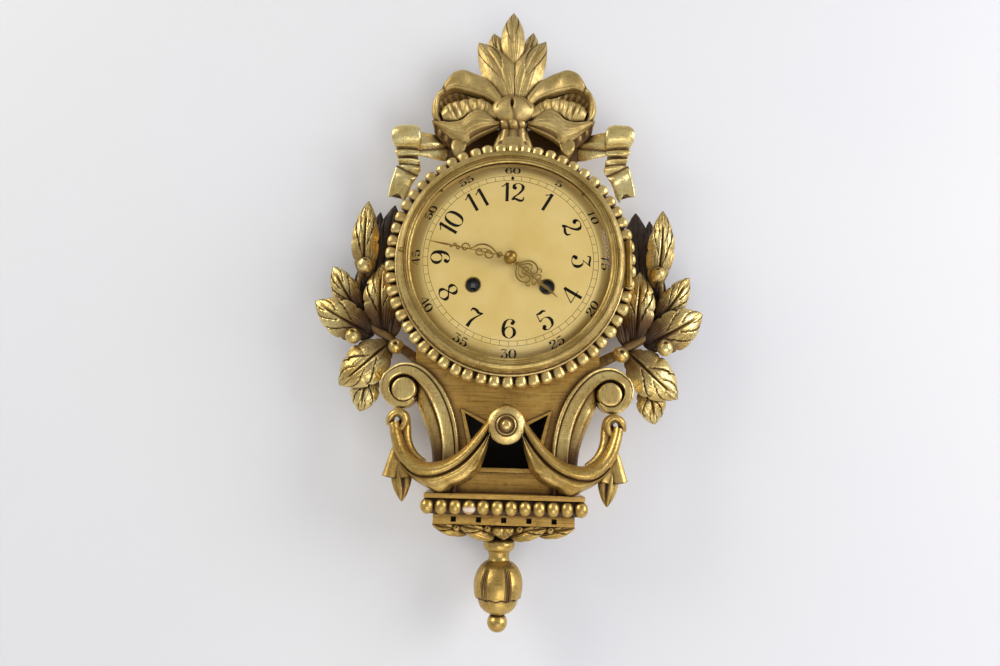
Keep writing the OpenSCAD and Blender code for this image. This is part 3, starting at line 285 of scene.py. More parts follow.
WOOD = bare_wood()
BRASS = worked_metal("lacquered_brass", "#C9A453", "#A78238", 0.30)
FITTING = worked_metal("tarnished_brass_fittings", "#AC8F50", "#7E6634", 0.38)
HAND_GILT = worked_metal("gilt_brass_hands", "#B29248", "#876A31", 0.3, 0.3, (0.25, 1, 0.25))
STEEL = worked_metal("clock_steel", "#8D8C8A", "#5E5C5A", 0.3, 0.2, (1, 0.03, 1))
IRON = black_lacquer()
DIAL = dial_gilt()
INK = dial_ink()
GLASS = clock_glass()

COAT = {"back_board": WOOD, "drum_wall": GILT_PLAIN, "dial": DIAL, "bezel_ring": GILT_BEZEL, "bezel_glass": GLASS,
        "hinge_case": FITTING, "hinge_pin": FITTING, "hinge_door": FITTING, "bezel_pull": FITTING,
        "hanger_plate": FITTING, "dial_screws": FITTING, "hand_nut": HAND_GILT, "gong_block": IRON}
COAT |= dict.fromkeys(("front_plate", "back_plate", "plate_pillars", "movement_straps", "going_barrel",
                       "strike_barrel", "hour_wheel", "minute_wheel", "pendulum", "crutch", "suspension_cock"), BRASS)
COAT |= dict.fromkeys(("strap_screws", "hanger_screws", "minute_stud", "center_arbor", "winding_arbor_left",
                       "winding_arbor_right", "gong_rod", "strike_hammer"), STEEL)
for name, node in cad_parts.items():
    node.data.materials.clear()
    node.data.materials.append(COAT.get(name, GILT_PLAIN))


# ---- mesh helpers ----
# A shell is points in wall coordinates, faces, and at each point how brown it is left, from wash in its cuts and from
# painted shade where it lies behind or under other carving, or less than 0 where the paint is chipped.

def curve(rows, steps=8, loop=False):
    """The smooth curve through rows, which may hold more than a place, such as a width."""
    p = np.array(rows, float)
    p = np.vstack([p[-1:], p, p[:2]] if loop else [p[:1], p, p[-1:]])
    out = []
    for i in range(1, len(p) - 2):
        a, b, c, d = p[i - 1:i + 3]
        for t in np.arange(steps) / steps:
            out.append((2 * b + (c - a) * t + (2 * a - 5 * b + 4 * c - d) * t ** 2
                        + (3 * b - a - 3 * c + d) * t ** 3) / 2)
    return np.array(out + ([] if loop else [p[-2]]))


def skin(rings, cut=None, loop=False):
    """A closed skin over an array of rings; with loop the last ring joins the first."""
    n, m = rings.shape[:2]
    faces = [(i % n * m + k, i % n * m + (k + 1) % m, (i + 1) % n * m + (k + 1) % m, (i + 1) % n * m + k)
             for i in range(n if loop else n - 1) for k in range(m)]
    if not loop:
        faces += [tuple(range(m)), tuple(range((n - 1) * m, n * m))]
    cut = np.zeros(n * m) if cut is None else cut.reshape(-1)
    return rings.reshape(-1, 3), faces, cut


def mirrored(shells):
    """The same shells on the other side of the clock."""
    return [(v * (-1, 1, 1), f, c) for v, f, c in shells]


def leaning(shells):
    """The right spray: mirrored, with its upper leaves leaning out and its lower ones hanging a little lower."""
    out = []
    for v, f, c in mirrored(shells):
        free = np.clip((v[:, 0] - 88) / 30, 0, 1)
        above, below = np.clip(v[:, 1] + 33, 0, None), np.clip(-33 - v[:, 1], 0, 60)
        shift = np.column_stack([0.085 * above + 0.045 * below, -1.5 - 0.05 * below, 0 * free])
        out.append((v + shift * free[:, None], f, c))
    return out


def lifted(shells):
    """The right side of the crest as it was glued on: mirrored, and a little high."""
    return [(v + np.outer(v[:, 0], (0, 0.052, 0)), f, c) for v, f, c in mirrored(shells)]


def moved(shell, x=0.0, d=0.0):
    """A shell pushed to the right and out from the wall."""
    return shell[0] + np.array([x, 0, d]), shell[1], shell[2]


def darken(shell, amount):
    """A shell painted brown all over, as painted shade on a piece that lies behind others."""
    return shell[0], shell[1], shell[2] + amount


def build(name, shells, coat, body="case", stands_for=(), corner=50):
    """One object from shells, smooth but for corners sharper than the given angle."""
    verts, faces, cuts, start = [], [], [], 0
    for v, f, c in shells:
        verts.append(v)
        cuts.append(c)
        faces += [tuple(start + k for k in face) for face in f]
        start += len(v)
    verts = np.vstack(verts) * MM
    mesh = bpy.data.meshes.new(name)
    mesh.from_pydata(np.column_stack([verts[:, 0], -verts[:, 2], verts[:, 1]]).tolist(), [], faces)
    cuts = np.concatenate(cuts)
    mesh.attributes.new("cuts_and_shade", "FLOAT", "POINT").data.foreach_set("value", cuts.clip(0, 1))
    mesh.attributes.new("chipped", "FLOAT", "POINT").data.foreach_set("value", (-cuts).clip(0, 1))
    bm = bmesh.new()
    bm.from_mesh(mesh)
    bmesh.ops.recalc_face_normals(bm, faces=bm.faces)
    bm.to_mesh(mesh)
    bm.free()
    mesh.polygons.foreach_set("use_smooth", [True] * len(mesh.polygons))
    mesh.set_sharp_from_angle(angle=math.radians(corner))
    mesh.materials.append(coat)
    piece = bpy.data.objects.new(name, mesh)
    bpy.context.collection.objects.link(piece)
    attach(piece, body)
    if stands_for:
        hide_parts(*stands_for)


def rounded(sides, power):
    """Cosines and sines round an oval; the lower the power, the squarer it is."""
    a = np.arange(sides) * 2 * math.pi / sides
    return [np.sign(f) * np.abs(f) ** power for f in (np.cos(a), np.sin(a))]


def tube(rows, sides=14, square=2.0, cut=0.0):
    """A bar through rows of x, y, d, half width and half depth; square above 2 flattens its sides."""
    p = np.array(rows, float)
    run = np.gradient(p[:, :2], axis=0)
    run /= np.linalg.norm(run, axis=1)[:, None] + 1e-9
    ca, sa = rounded(sides, 2 / square)
    wide = p[:, 3:4] * ca[None, :]
    rings = np.stack([p[:, 0:1] - run[:, 1:2] * wide, p[:, 1:2] + run[:, 0:1] * wide,
                      p[:, 2:3] + p[:, 4:5] * sa[None, :]], axis=2)
    return skin(rings, np.full(rings.shape[:2], cut))


def line(distance, width):
    """The profile of a V-cut: 1 on its line and 0 away from it."""
    return np.exp(-(distance / width) ** 2)


def rails(a, b, bulge, back, relief=None, cut=None, edge=None, wide=24, steps=8, soft=0.7):
    """A carved band between two edges of x, y, d. At t along it and v across it, bulge(t) rounds its front, back(t)
    its rear, relief(t, v) carves it, cut(t, v) says how brown it is left, and edge(t, v) moves it up or down to
    scallop a side."""
    a, b = curve(a, steps), curve(b, steps)
    t = np.linspace(0, 1, len(a))[:, None]
    v = (1 - np.cos(np.linspace(0, math.pi, wide)))[None, :] / 2
    base = a[:, None, :] * (1 - v[..., None]) + b[:, None, :] * v[..., None]
    if edge is not None:
        base[..., 1] += edge(t, v)
    front, rear = base.copy(), base.copy()
    front[..., 2] += (bulge(t) if callable(bulge) else bulge) * np.sin(math.pi * v) ** soft
    if relief is not None:
        front[..., 2] += relief(t, v)
    rear[..., 2] -= (back(t) if callable(back) else back) * np.sin(math.pi * v) ** 0.5 + 0.9
    cuts = np.zeros(base.shape[:2]) + (cut(t, v) if cut is not None else 0)
    return skin(np.concatenate([front, rear[:, ::-1]], axis=1), np.concatenate([cuts, cuts * 0], axis=1))


def leaf(base, tip, width, thick=6.0, bulge=5.0, bend=0.0, veins=4, slant=0.45, lobe=0.10, tilt=0.0, curl=0.0,
         blunt=0.8, fan=0.35, shade=0.0, mark=1.0, rows=84, wide=51, keep_left=None):
    """A carved leaf, puffed between a V-cut midrib and side veins, with a lobe of the edge between each two. Its
    middle stands out by bulge and swings sideways by bend; slant is how far the veins run forward, tilt how far one
    side stands out, curl how far the tip does, and blunt below 1 makes the tip longer than the foot. Fan is the
    depth of the gouge strokes that spread over it, shade how brown its foot is, mark how deep the cuts are, and
    keep_left the x that it doesn't pass."""
    base, tip = np.array(base, float), np.array(tip, float)
    # s runs from the foot to the tip, and u from the right edge to the left one, closer set towards the edges
    s = np.linspace(0, 1, rows)[:, None]
    u = np.linspace(-1, 1, wide)
    u = (0.55 * u + 0.45 * np.sin(math.pi / 2 * u))[None, :]
    run = tip[:2] - base[:2]
    length = np.linalg.norm(run)
    across = np.array([-run[1], run[0]]) / length
    # the outline: half its width from foot to tip, notched between each two lobes
    shape = np.maximum(np.sin(math.pi * s ** blunt), 0.001) ** (0.6 + 0.14 * s)
    shape = np.maximum(shape, 0.05)
    notch = (1 - np.abs(np.sin(math.pi * (s - slant * 0.85) * veins))) ** 3 * (s > 0.12) * (s < 0.93)
    half = width / 2 * shape * (1 - lobe * notch)
    # q counts the side veins, a little ahead on one side; near is the distance to the nearest in mm
    q = (s - slant * np.abs(u) ** 1.1) * veins + 0.15 * np.sign(u)
    near = np.abs(q - np.round(q)) * length / veins * 0.75
    inside = ((q > 0.2) * (q < veins * 0.86) * np.clip(np.abs(u) * 7 - 0.6, 0, 1)
              * np.clip((1.02 - np.abs(u)) * 6, 0, 1))
    vein = mark * line(near, 0.8) * inside
    # the midrib, the height from foot to tip, and the panels between the veins, each higher towards its front
    rib = mark * line(u * half, 0.85) * np.clip((0.94 - s) * 5, 0, 1) * np.clip(s * 12, 0, 1)
    env = np.sin(math.pi * np.clip(s, 0.02, 0.98) ** 0.75) ** 0.55
    facet = (q - np.floor(q)) * np.abs(u) ** 0.8 * (q > 0)
    relief = thick * env * (0.62 * (1 - np.abs(u) ** 2.3) + 0.42 * facet * (1 - np.abs(u) ** 6)
                            - 0.30 * rib - 0.17 * vein * (1 - 0.3 * np.abs(u)))
    # gouge strokes about 2.7 mm apart
    strokes = np.sin(width * 1.15 * u + 2.5 * s) * (1 - np.abs(u) ** 4) * np.clip(1.15 - s, 0, 1)
    relief = relief + fan * strokes
    centre = base[None, :2] + run * s + across * bend * np.sin(math.pi * s)
    x = centre[:, 0:1] + across[0] * u * half
    y = centre[:, 1:2] + across[1] * u * half
    middle = base[2] + (tip[2] - base[2]) * s + bulge * np.sin(math.pi * s) + curl * s ** 3 + tilt * u * half
    rear = middle - thick * env * 0.5 * (1 - u ** 2) ** 0.5 - 1.3
    if keep_left is not None:
        x = np.minimum(x, keep_left)
    front = np.stack([x, y, middle + relief], axis=2)
    behind = np.stack([x, y, rear], axis=2)
    cuts = (np.maximum(0.5 * rib, 0.3 * vein * (1.1 - 0.6 * np.abs(u))) + shade * np.clip(1.25 - 2.2 * s, 0, 1)
            + fan * np.clip(-strokes - 0.5, 0, 1))
    # the back, towards the wall, is left half brown as painted shade
    return skin(np.concatenate([front, behind[:, ::-1]], axis=1),
                np.concatenate([cuts, np.full_like(cuts, 0.5)], axis=1))


def lathe(profile, centre, upright=False, sides=64, shape=None, loop=False, cut=None):
    """A turned form from rows of radius and height along its axis, which points out, or up if upright. At an angle
    and a height, shape scales the radius and cut says how brown it is; loop closes a ring with a bore."""
    rows = np.array(profile, float)
    a = (np.arange(sides) * 2 * math.pi / sides)[None, :]
    h = rows[:, 1:2] * np.ones((1, sides))
    r = rows[:, 0:1] * np.ones((1, sides))
    if shape is not None:
        r = r * shape(a, h)
    x, y, z = centre
    if upright:
        rings = np.stack([x + r * np.cos(a), y + h, z + r * np.sin(a)], axis=2)
    else:
        rings = np.stack([x + r * np.cos(a), y + r * np.sin(a), z + h], axis=2)
    return skin(rings, None if cut is None else cut(a, h) * np.ones(r.shape), loop)


def ball(centre, size, pit=None, folds=0.0, count=7, fine=20):
    """A rounded lump with half sizes along x, y and d; pit is the way its dimple faces, folds is the depth of its
    pleats and count sets their number, and fine is how many rows of faces it has."""
    rows = [(math.sin(k * math.pi / fine) + 0.002, -math.cos(k * math.pi / fine)) for k in range(fine + 1)]
    v, f, cut = lathe(rows, (0, 0, 0), sides=3 * fine // 2)
    if pit is not None:
        toward = np.array(pit) / np.linalg.norm(pit)
        apart = np.arccos(np.clip(v @ toward, -1, 1))
        cut = line(apart, 0.24)
        v = v * (1 - 0.34 * cut + 0.05 * line(apart - 0.45, 0.14))[:, None]
    if folds:
        wave = np.cos(count * v[:, 0] * 2.1 + 1.2 * v[:, 1])
        v = v * (1 + folds * wave)[:, None]
        cut = np.clip(-wave * 0.8 - 0.25, 0, 1)
    return v * np.array(size, float) + np.array(centre, float), f, cut


def slab(outline, back, front, edge=0.8):
    """A flat board with eased front edges, from its outline in the wall plane."""
    p = np.array(outline, float)
    ahead, behind = np.roll(p, -1, 0) - p, p - np.roll(p, 1, 0)
    ahead /= np.linalg.norm(ahead, axis=1)[:, None]
    behind /= np.linalg.norm(behind, axis=1)[:, None]
    side = np.column_stack([-(ahead + behind)[:, 1], (ahead + behind)[:, 0]])
    side /= np.maximum(1 + (ahead * behind).sum(1), 0.3)[:, None]
    area = (p[:, 0] * np.roll(p[:, 1], -1) - np.roll(p[:, 0], -1) * p[:, 1]).sum()
    inward = side if area > 0 else -side
    rings = [np.column_stack([p + inward * i, np.full(len(p), d)])
             for i, d in ((0, back), (0, front - edge), (edge * 0.3, front - edge * 0.3), (edge, front))]
    return skin(np.array(rings))


# ---- turned and beaded mouldings of the case ----

# beads: how many, their inner and outer end, half width and depth; then the ring's lip, and its step for the bezel
BEADS, BEAD_IN, BEAD_OUT, BEAD_R, BEAD_D = 58, 104.6, 117.0, 5.85, 75.6
LIP, BEZEL_SEAT = 81.5, 103.8


def bead(angle, r, outer):
    """One carved bead that lies along a radius: straight at the ring and rounded at its outer end."""
    s = np.array([0, 0.2, 0.36, 0.5, 0.63, 0.74, 0.83, 0.9, 0.95, 0.985, 1.0])
    wide = r * np.array([0.8, 0.88, 0.95, 0.99, 1, 0.97, 0.9, 0.77, 0.6, 0.35, 0.1])
    ca, sa = rounded(18, 2 / 2.2)
    reach = (BEAD_IN + (outer - BEAD_IN) * s)[:, None]
    tang = wide[:, None] * ca[None, :]
    x = math.cos(angle) * reach - math.sin(angle) * tang
    y = math.sin(angle) * reach + math.cos(angle) * tang
    z = BEAD_D - 0.8 * s[:, None] ** 2 + wide[:, None] * 0.92 * sa[None, :]
    return skin(np.stack([x, y, z], axis=2))


def beaded_ring():
    """The ring round the drum, with the web that its beads are cut from painted dark as painted shade between them.
    """
    ring = [(97, 70), (111.6, 70), (112.4, 70.8), (112.2, 72.8), (111, 73.6), (106.4, 73.8), (106.2, 75),
            (106.2, LIP - 1.2), (105.7, LIP - 0.3), (104.9, LIP), (BEZEL_SEAT, LIP - 0.2), (BEZEL_SEAT, 76), (97, 76)]
    # the web below the beads' level is painted brown as painted shade
    shells = [lathe(ring, (0, 0, 0), sides=128, loop=True, cut=lambda a, h: 0.75 * (h < 75.5))]
    for i in range(BEADS):
        angle = 2 * math.pi * (i + 0.5 + rng.uniform(-0.05, 0.05)) / BEADS
        shells.append(bead(angle, BEAD_R * rng.uniform(0.95, 1.0), BEAD_OUT - rng.uniform(0, 0.9)))
    build("beaded_ring", shells, GILT, stands_for=("bead_ring",))


def rosette_button():
    """Turned button on a short stem, with a raised ring and a knob in its middle."""
    height = -149
    rows = [(0.3, 63), (9, 63), (9, 77), (15.6, 77.2), (16.8, 78), (17.2, 79.4), (16.9, 80.8), (15.8, 81.9),
            (13.4, 83.1), (10.8, 84), (9.4, 84.3), (9.0, 84.1), (8.7, 84.9), (8.1, 85.3), (7.5, 84.9), (7.2, 84),
            (6.4, 83.8), (5.2, 83.9), (4.8, 84.1), (4.7, 85.6), (4.3, 87), (3.4, 88.1), (2.1, 88.7), (0.3, 88.8)]
    v, f, _ = lathe(rows, (0, height, 0), sides=72)
    out = np.hypot(v[:, 0], v[:, 1] - height)
    cut = 0.8 * line(out - 9.3, 0.35) + 0.8 * line(out - 6.2, 1.0)
    build("rosette_button", [(v, f, cut)], GILT, stands_for=("rosette",), corner=60)


# ---- scroll brackets ----

# the band's middle line and width, from its foot to the inner end of the curl
SCROLL = [(-51, -208, 13), (-48.6, -178, 13.5), (-53, -148, 13.5), (-64, -122, 13.5), (-80, -104, 12),
          (-96, -99.5, 10), (-109.5, -108, 8.6), (-110.5, -121, 8), (-102, -131, 7.6), (-91.6, -132, 5.4),
          (-84.4, -126.4, 2.2)]


def scroll_bracket():
    """Left bracket: a moulded band that curls round a disc, with a rounded flank on its outer side."""
    p = curve(SCROLL, 10)
    run = np.gradient(p[:, :2], axis=0)
    run /= np.linalg.norm(run, axis=1)[:, None]
    side = np.column_stack([-run[:, 1], run[:, 0]])
    rear, front = 46, 67.4
    # across the band from its outer edge: arris, hollow, cut line, fillet, inner edge, as place, depth and cut
    section = [(-0.5, rear, 0), (-0.5, 65.6, 0), (-0.47, 67.2, 0), (-0.42, 67.9, 0), (-0.36, 67.3, 0),
               (-0.2, 66.8, 0), (0.0, 66.7, 0), (0.14, 66.9, 0), (0.2, 66.7, 0.4), (0.235, 65.6, 1),
               (0.27, 66.7, 0.4), (0.34, 67.3, 0), (0.43, 67.5, 0), (0.48, 66.9, 0), (0.5, 65.4, 0), (0.5, rear, 0)]
    rings, cuts = [], []
    for q, n, w, k in zip(p, side, p[:, 2], np.linspace(0, 1, len(p))):
        # the moulding dies out into the curl, which is plain, and the arm is painted brown low down as painted shade
        # behind the swag
        plain = min(max((k - 0.52) * 4, 0), 1)
        w = w * (1.12 - 0.12 * plain)
        row = []
        for a, d, _ in section:
            d = d if d == rear else d * (1 - plain) + (front - 1.8 * abs(2 * a) ** 4) * plain
            row.append((q[0] - n[0] * a * w, q[1] - n[1] * a * w, d))
        rings.append(row)
        low = 0.55 * min(max((-158 - q[1]) / 30, 0), 1)
        cuts.append([max(c * (1 - plain), low) for _, _, c in section])
    disc = [(0.3, rear), (11, rear), (11.1, 65.6), (10.6, 67), (9.6, 67.6), (7, 67.7), (3, 67.9), (0.3, 67.9)]
    pad = [(0.3, rear), (13.5, rear), (14, 50), (13.6, 54), (12.4, 56), (0.3, 56)]
    flank = [(-76, -110, 48, 8, 7), (-75.6, -124, 48, 9, 10), (-70.6, -138, 48, 9, 12), (-63.4, -156, 48, 8.6, 13),
             (-59.2, -176, 48, 8, 13), (-58, -208, 48, 7.4, 12)]
    flank = tube(curve(flank, 8), 20, 2.4)
    # the flank is painted brown low down as painted shade behind the swag
    flank = flank[0], flank[1], 0.6 * np.clip((-140 - flank[0][:, 1]) / 40, 0, 1)
    return [skin(np.array(rings), np.array(cuts)), lathe(disc, (-94, -118.5, 0), sides=48),
            lathe(pad, (-96.5, -116, 0), sides=40), flank]


# ---- cloth swags, carved in wood ----

def cloth_swag():
    """Left swag: a rolled upper edge from the rosette to the hook, and the fuller fold that hangs from it."""
    upper = [(0, -129.8, 74), (-6, -132, 74), (-11, -136.8, 74), (-15.8, -143, 74), (-20.4, -149, 75),
             (-25.1, -155.2, 76), (-34.3, -166.6, 77), (-40.6, -172.6, 78), (-47.6, -177.4, 78), (-56, -181, 78),
             (-64, -182.6, 78), (-71, -182.2, 78), (-77.6, -179.6, 77), (-84.4, -173.8, 76), (-89.6, -165.3, 75),
             (-93.4, -155, 74), (-95.4, -147, 72.6)]
    crease = [(0, -138, 74), (-7, -141.8, 74), (-13, -149.6, 74), (-17.6, -158.6, 75), (-21.6, -166, 75.5),
              (-27, -173.4, 76.5), (-34, -181, 77.6), (-40.6, -186.8, 78), (-48, -191.4, 78.4), (-57, -195, 78.6),
              (-66.6, -196.8, 78.6), (-76.4, -196, 78.4), (-84.4, -192, 77.6), (-91.6, -184.8, 76.6),
              (-97.8, -175, 76), (-102, -162, 75), (-104.8, -150.4, 73.4)]

    def pinches(t, v):
        return -0.5 * line(v - 0.66, 0.04) * (t < 0.55) * (t > 0.1) - 0.4 * line(v - 0.8, 0.04) * (t < 0.5)

    roll = rails(upper, crease, lambda t: 6 + 4.4 * np.sin(math.pi * t), 6, pinches,
                 lambda t, v: 0.4 * line(v - 0.66, 0.02) * (t > 0.14) * (t < 0.5), wide=36, steps=6, soft=0.55)
    top = [(-12, -150, 75), (-16.4, -158, 76), (-21.6, -165, 77), (-28.4, -173, 78.4), (-36, -180.6, 80),
           (-45, -187, 81), (-55.4, -192, 81.4), (-66, -194, 81.2), (-76.4, -193.4, 80), (-85.4, -189, 78.6),
           (-92, -182.4, 77)]
    low = [(-12.4, -152.6, 74), (-14.6, -160.8, 73.6), (-16.2, -170.3, 73), (-19.6, -181.4, 72.6),
           (-23, -190.5, 72.4), (-30.4, -197.4, 72.4), (-42, -203.4, 72.2), (-54.6, -210.4, 72.2),
           (-67, -205.4, 72.4), (-79.6, -198.6, 72.6), (-90, -189, 73)]

    def hang(t, v):
        # long soft folds that fan out from the rosette, and the furrows between the lobes of the lower edge
        fold = 1.7 * np.sin(3.1 * math.pi * v + 1.0 - 2.4 * t) * np.sin(math.pi * v) * np.clip(1.35 - t, 0, 1)
        return fold - 1.7 * line(t - 0.44, 0.03) * v ** 3 - 1.4 * line(t - 0.63, 0.03) * v ** 3

    # the fold is painted browner along its top edge under the roll, along its hem and low towards the tail, as
    # painted shade
    fold = rails(top, low, lambda t: 4.4 + 4.2 * np.sin(math.pi * np.clip(t * 0.92 + 0.06, 0, 1)), 3, hang,
                 lambda t, v: 0.1 * line(v, 0.03) + 0.6 * np.clip(t * 3 - 2.2, 0, 1) * v + 0.5 * line(v - 1, 0.04),
                 lambda t, v: 2.8 * line(t - 0.44, 0.022) * v ** 4 + 2.2 * line(t - 0.625, 0.022) * v ** 4,
                 wide=34, steps=8, soft=0.72)
    # the bracket that the swag hangs on, and the loop of cloth through it
    strap = [(-98, -139.6, 64, 4, 4.6), (-92.6, -143, 65, 5, 5.6), (-90.8, -152, 65.6, 5.2, 6.2),
             (-90, -162, 66.6, 5.4, 6.4), (-87, -171, 68, 5.4, 6.4), (-81, -178.5, 69.5, 4.8, 5.6),
             (-72, -184, 70, 3.4, 4.6)]
    loop = [(-103.6, -151.4, 69.4, 3.9, 4.6), (-103.8, -146.4, 71.4, 3.7, 5), (-101.6, -142, 72.2, 3.6, 5.2),
            (-96.6, -139.6, 72.4, 3.7, 5.3), (-91.8, -142.2, 72, 3.7, 5.2), (-90.2, -147, 71.4, 3.6, 5),
            (-92.2, -152.2, 71, 3.6, 4.8), (-97, -155.6, 71, 4, 4.8)]
    # the tail: a folded end, and the rolled, pointed end that hangs from behind it
    tail = rails([(-98, -164, 73), (-101, -172, 73), (-103.4, -179.4, 73), (-106, -188, 72.6), (-108.2, -195.2, 72)],
                 [(-90, -172, 73.4), (-88.4, -180, 73.6), (-87, -187, 73.8), (-85.4, -192, 73.8),
                  (-83.4, -195.6, 73.4)], 2.8, 2.6,
                 lambda t, v: 2.2 * np.sin(2.2 * math.pi * v + 0.5) * t + t ** 4,
                 lambda t, v: 0.6 * line(t - 1, 0.03) + 0.75 * line(v - 0.62 + 0.1 * t, 0.06) * t,
                 lambda t, v: -2.2 * np.clip(t * 6 - 5, 0, 1) * np.sin(math.pi * v), wide=26)
    point = rails([(-101.4, -190, 71), (-100.4, -198, 71), (-98, -206, 71), (-94.4, -212.8, 70.6),
                   (-90.6, -217.4, 70)],
                  [(-82, -190, 71), (-82.2, -198, 71), (-83.8, -206, 71), (-86.4, -212.8, 70.6), (-89.4, -217.4, 70)],
                  4.4, 2.4, lambda t, v: -3.4 * line(v - 0.55 - 0.2 * t, 0.09) * (1 - t) - line(v - 0.25, 0.06),
                  lambda t, v: 0.95 * line(v - 0.55 - 0.2 * t, 0.1) * (1 - t ** 3), wide=28, soft=0.6)
    return [roll, moved(fold, d=1.5), tube(curve(strap, 8), 20, 2.4), tube(curve(loop, 8), 18), tail, point]


# ---- leaves, bow and ribbons ----

def laurel_spray():
    """Left laurel spray: leaves, three berries and the branch, with painted shade on all that lies behind."""
    shells = [leaf((-140.6, -10, 41), (-140.6, 66.4, 43), 26.5, 7.5, 6, 0.6, 4, 0.55, 0.12, 0.1, 3, 0.86, shade=0.35),
              # the three leaves behind are painted brown all over as painted shade
              darken(leaf((-130, -16, 28), (-117.6, 70, 27), 31, 5, 2, -1, 2, 0.5, 0.08, 0.1), 0.95),
              darken(leaf((-139, -16, 29), (-131.6, 61.5, 29), 24, 5, 2, 0, 2, 0.5, 0.08, 0.1), 0.95),
              darken(leaf((-133, -58, 30), (-149, 4, 30), 26, 5, 2, 0, 2, 0.5, 0.08), 0.95),
              leaf((-142.6, -46, 37), (-173, 1.6, 36), 26.5, 7.5, 4, 1.4, 4, 0.5, 0.12, -0.20, 2, 1.0, shade=0.9),
              leaf((-119.6, -63, 42), (-123.6, 3.8, 42), 32, 8, 5, 1.6, 4, 0.5, 0.10, 0.22, 1, 0.92, shade=0.8),
              # a small leaf behind, painted brown as painted shade
              darken(leaf((-113, -68, 40), (-107, -34, 40), 17, 5, 2, 0, 2, 0.5, 0.1, -0.2), 0.7),
              leaf((-129, -66, 42), (-187.2, -34.4, 40), 36, 8, 5, 1.4, 4, 0.46, 0.12, -0.15, 1, 0.95, shade=0.85),
              leaf((-112.6, -73.6, 45), (-158.4, -114.4, 42), 42, 9, 6, 2, 4, 0.46, 0.12, 0.06, 1, 0.9, shade=0.4),
              leaf((-130, -97, 38), (-139, -138.4, 34), 28.5, 7.5, 3, 0, 3, 0.5, 0.12, 0.1, 0, 1.1, shade=0.8)]
    for spot, pit in (((-139.2, 0.2, 52), (0.3, 0.85, 0.75)), ((-146.4, -68.6, 51), (0.1, 0.7, 0.8)),
                      ((-105.6, -77.4, 50), (0.1, 0.4, 0.95))):
        shells.append(ball(spot, (7.4, 7.4, 7.4), pit, fine=40))
    branch = [(-81.5, -92, 40, 4.6, 4.8), (-88, -87, 40.2, 4.8, 4.9), (-95, -82, 40.6, 4.7, 4.8),
              (-103, -76.6, 41.4, 4.4, 4.6), (-111, -70, 42, 4, 4.4), (-119, -65, 42, 4.4, 4.4),
              (-127, -60.6, 41.6, 4.2, 4.2), (-135, -55.5, 40.4, 3.8, 4), (-142, -50, 39, 3.5, 3.8),
              (-147, -38, 38, 3, 3.4), (-148, -24, 38.6, 2.8, 3), (-145, -4, 40, 2.4, 2.6)]
    twig = [(-142, -50, 39, 2.8, 3), (-134, -34, 35, 2.8, 3), (-129, -14, 32, 2.6, 2.8), (-126, 8, 30, 2.4, 2.6)]
    lower = [(-111, -71, 42, 3.2, 3.6), (-120, -84, 39, 3, 3.2), (-129, -97, 36, 2.6, 2.8)]
    # the branch, twig and stalk are painted brown as painted shade among the leaves
    return shells + [darken(tube(curve(rows, 6), 16, 2.2), 0.45) for rows in (branch, twig, lower)]


def crest_cluster():
    """Top of the crest: the middle leaf, two behind it, and two large ones that meet along the middle."""
    shells = [leaf((-1.4, 213, 52), (-2.6, 274.8, 46), 24, 7.5, 4.6, 1, 3, 0.55, 0.03, mark=0.3, fan=0.14),
              leaf((-8, 205, 37), (-22.6, 256.6, 37.6), 23, 6, 2, 1.5, 3, 0.5, 0.12, blunt=1.15, mark=0.7),
              leaf((-3, 205, 36), (-13.4, 258, 36.6), 15, 5, 2, 0, 3, 0.5, 0.1, mark=0.7),
              leaf((8, 205, 37), (18.6, 258.6, 37.6), 19, 6, 2, -1, 3, 0.5, 0.1, blunt=1.1, mark=0.7),
              # a board behind the leaves, painted near black as painted shade
              darken(slab([(-8, 160.6), (8, 160.6), (6, 236), (-6, 236)], 28, 44), 0.8)]
    left, right = (leaf((-4.5, 170, 49.5), tip, width, 8.5, 5, -5, 3, 0.62, 0.015, -0.05, 0, 0.74, 0.16, mark=0.28,
                        rows=100, wide=61, keep_left=-0.35)
                   for tip, width in (((-37.6, 241, 45), 38), ((-31, 242.4, 45), 35)))
    return shells + [left] + lifted([right])


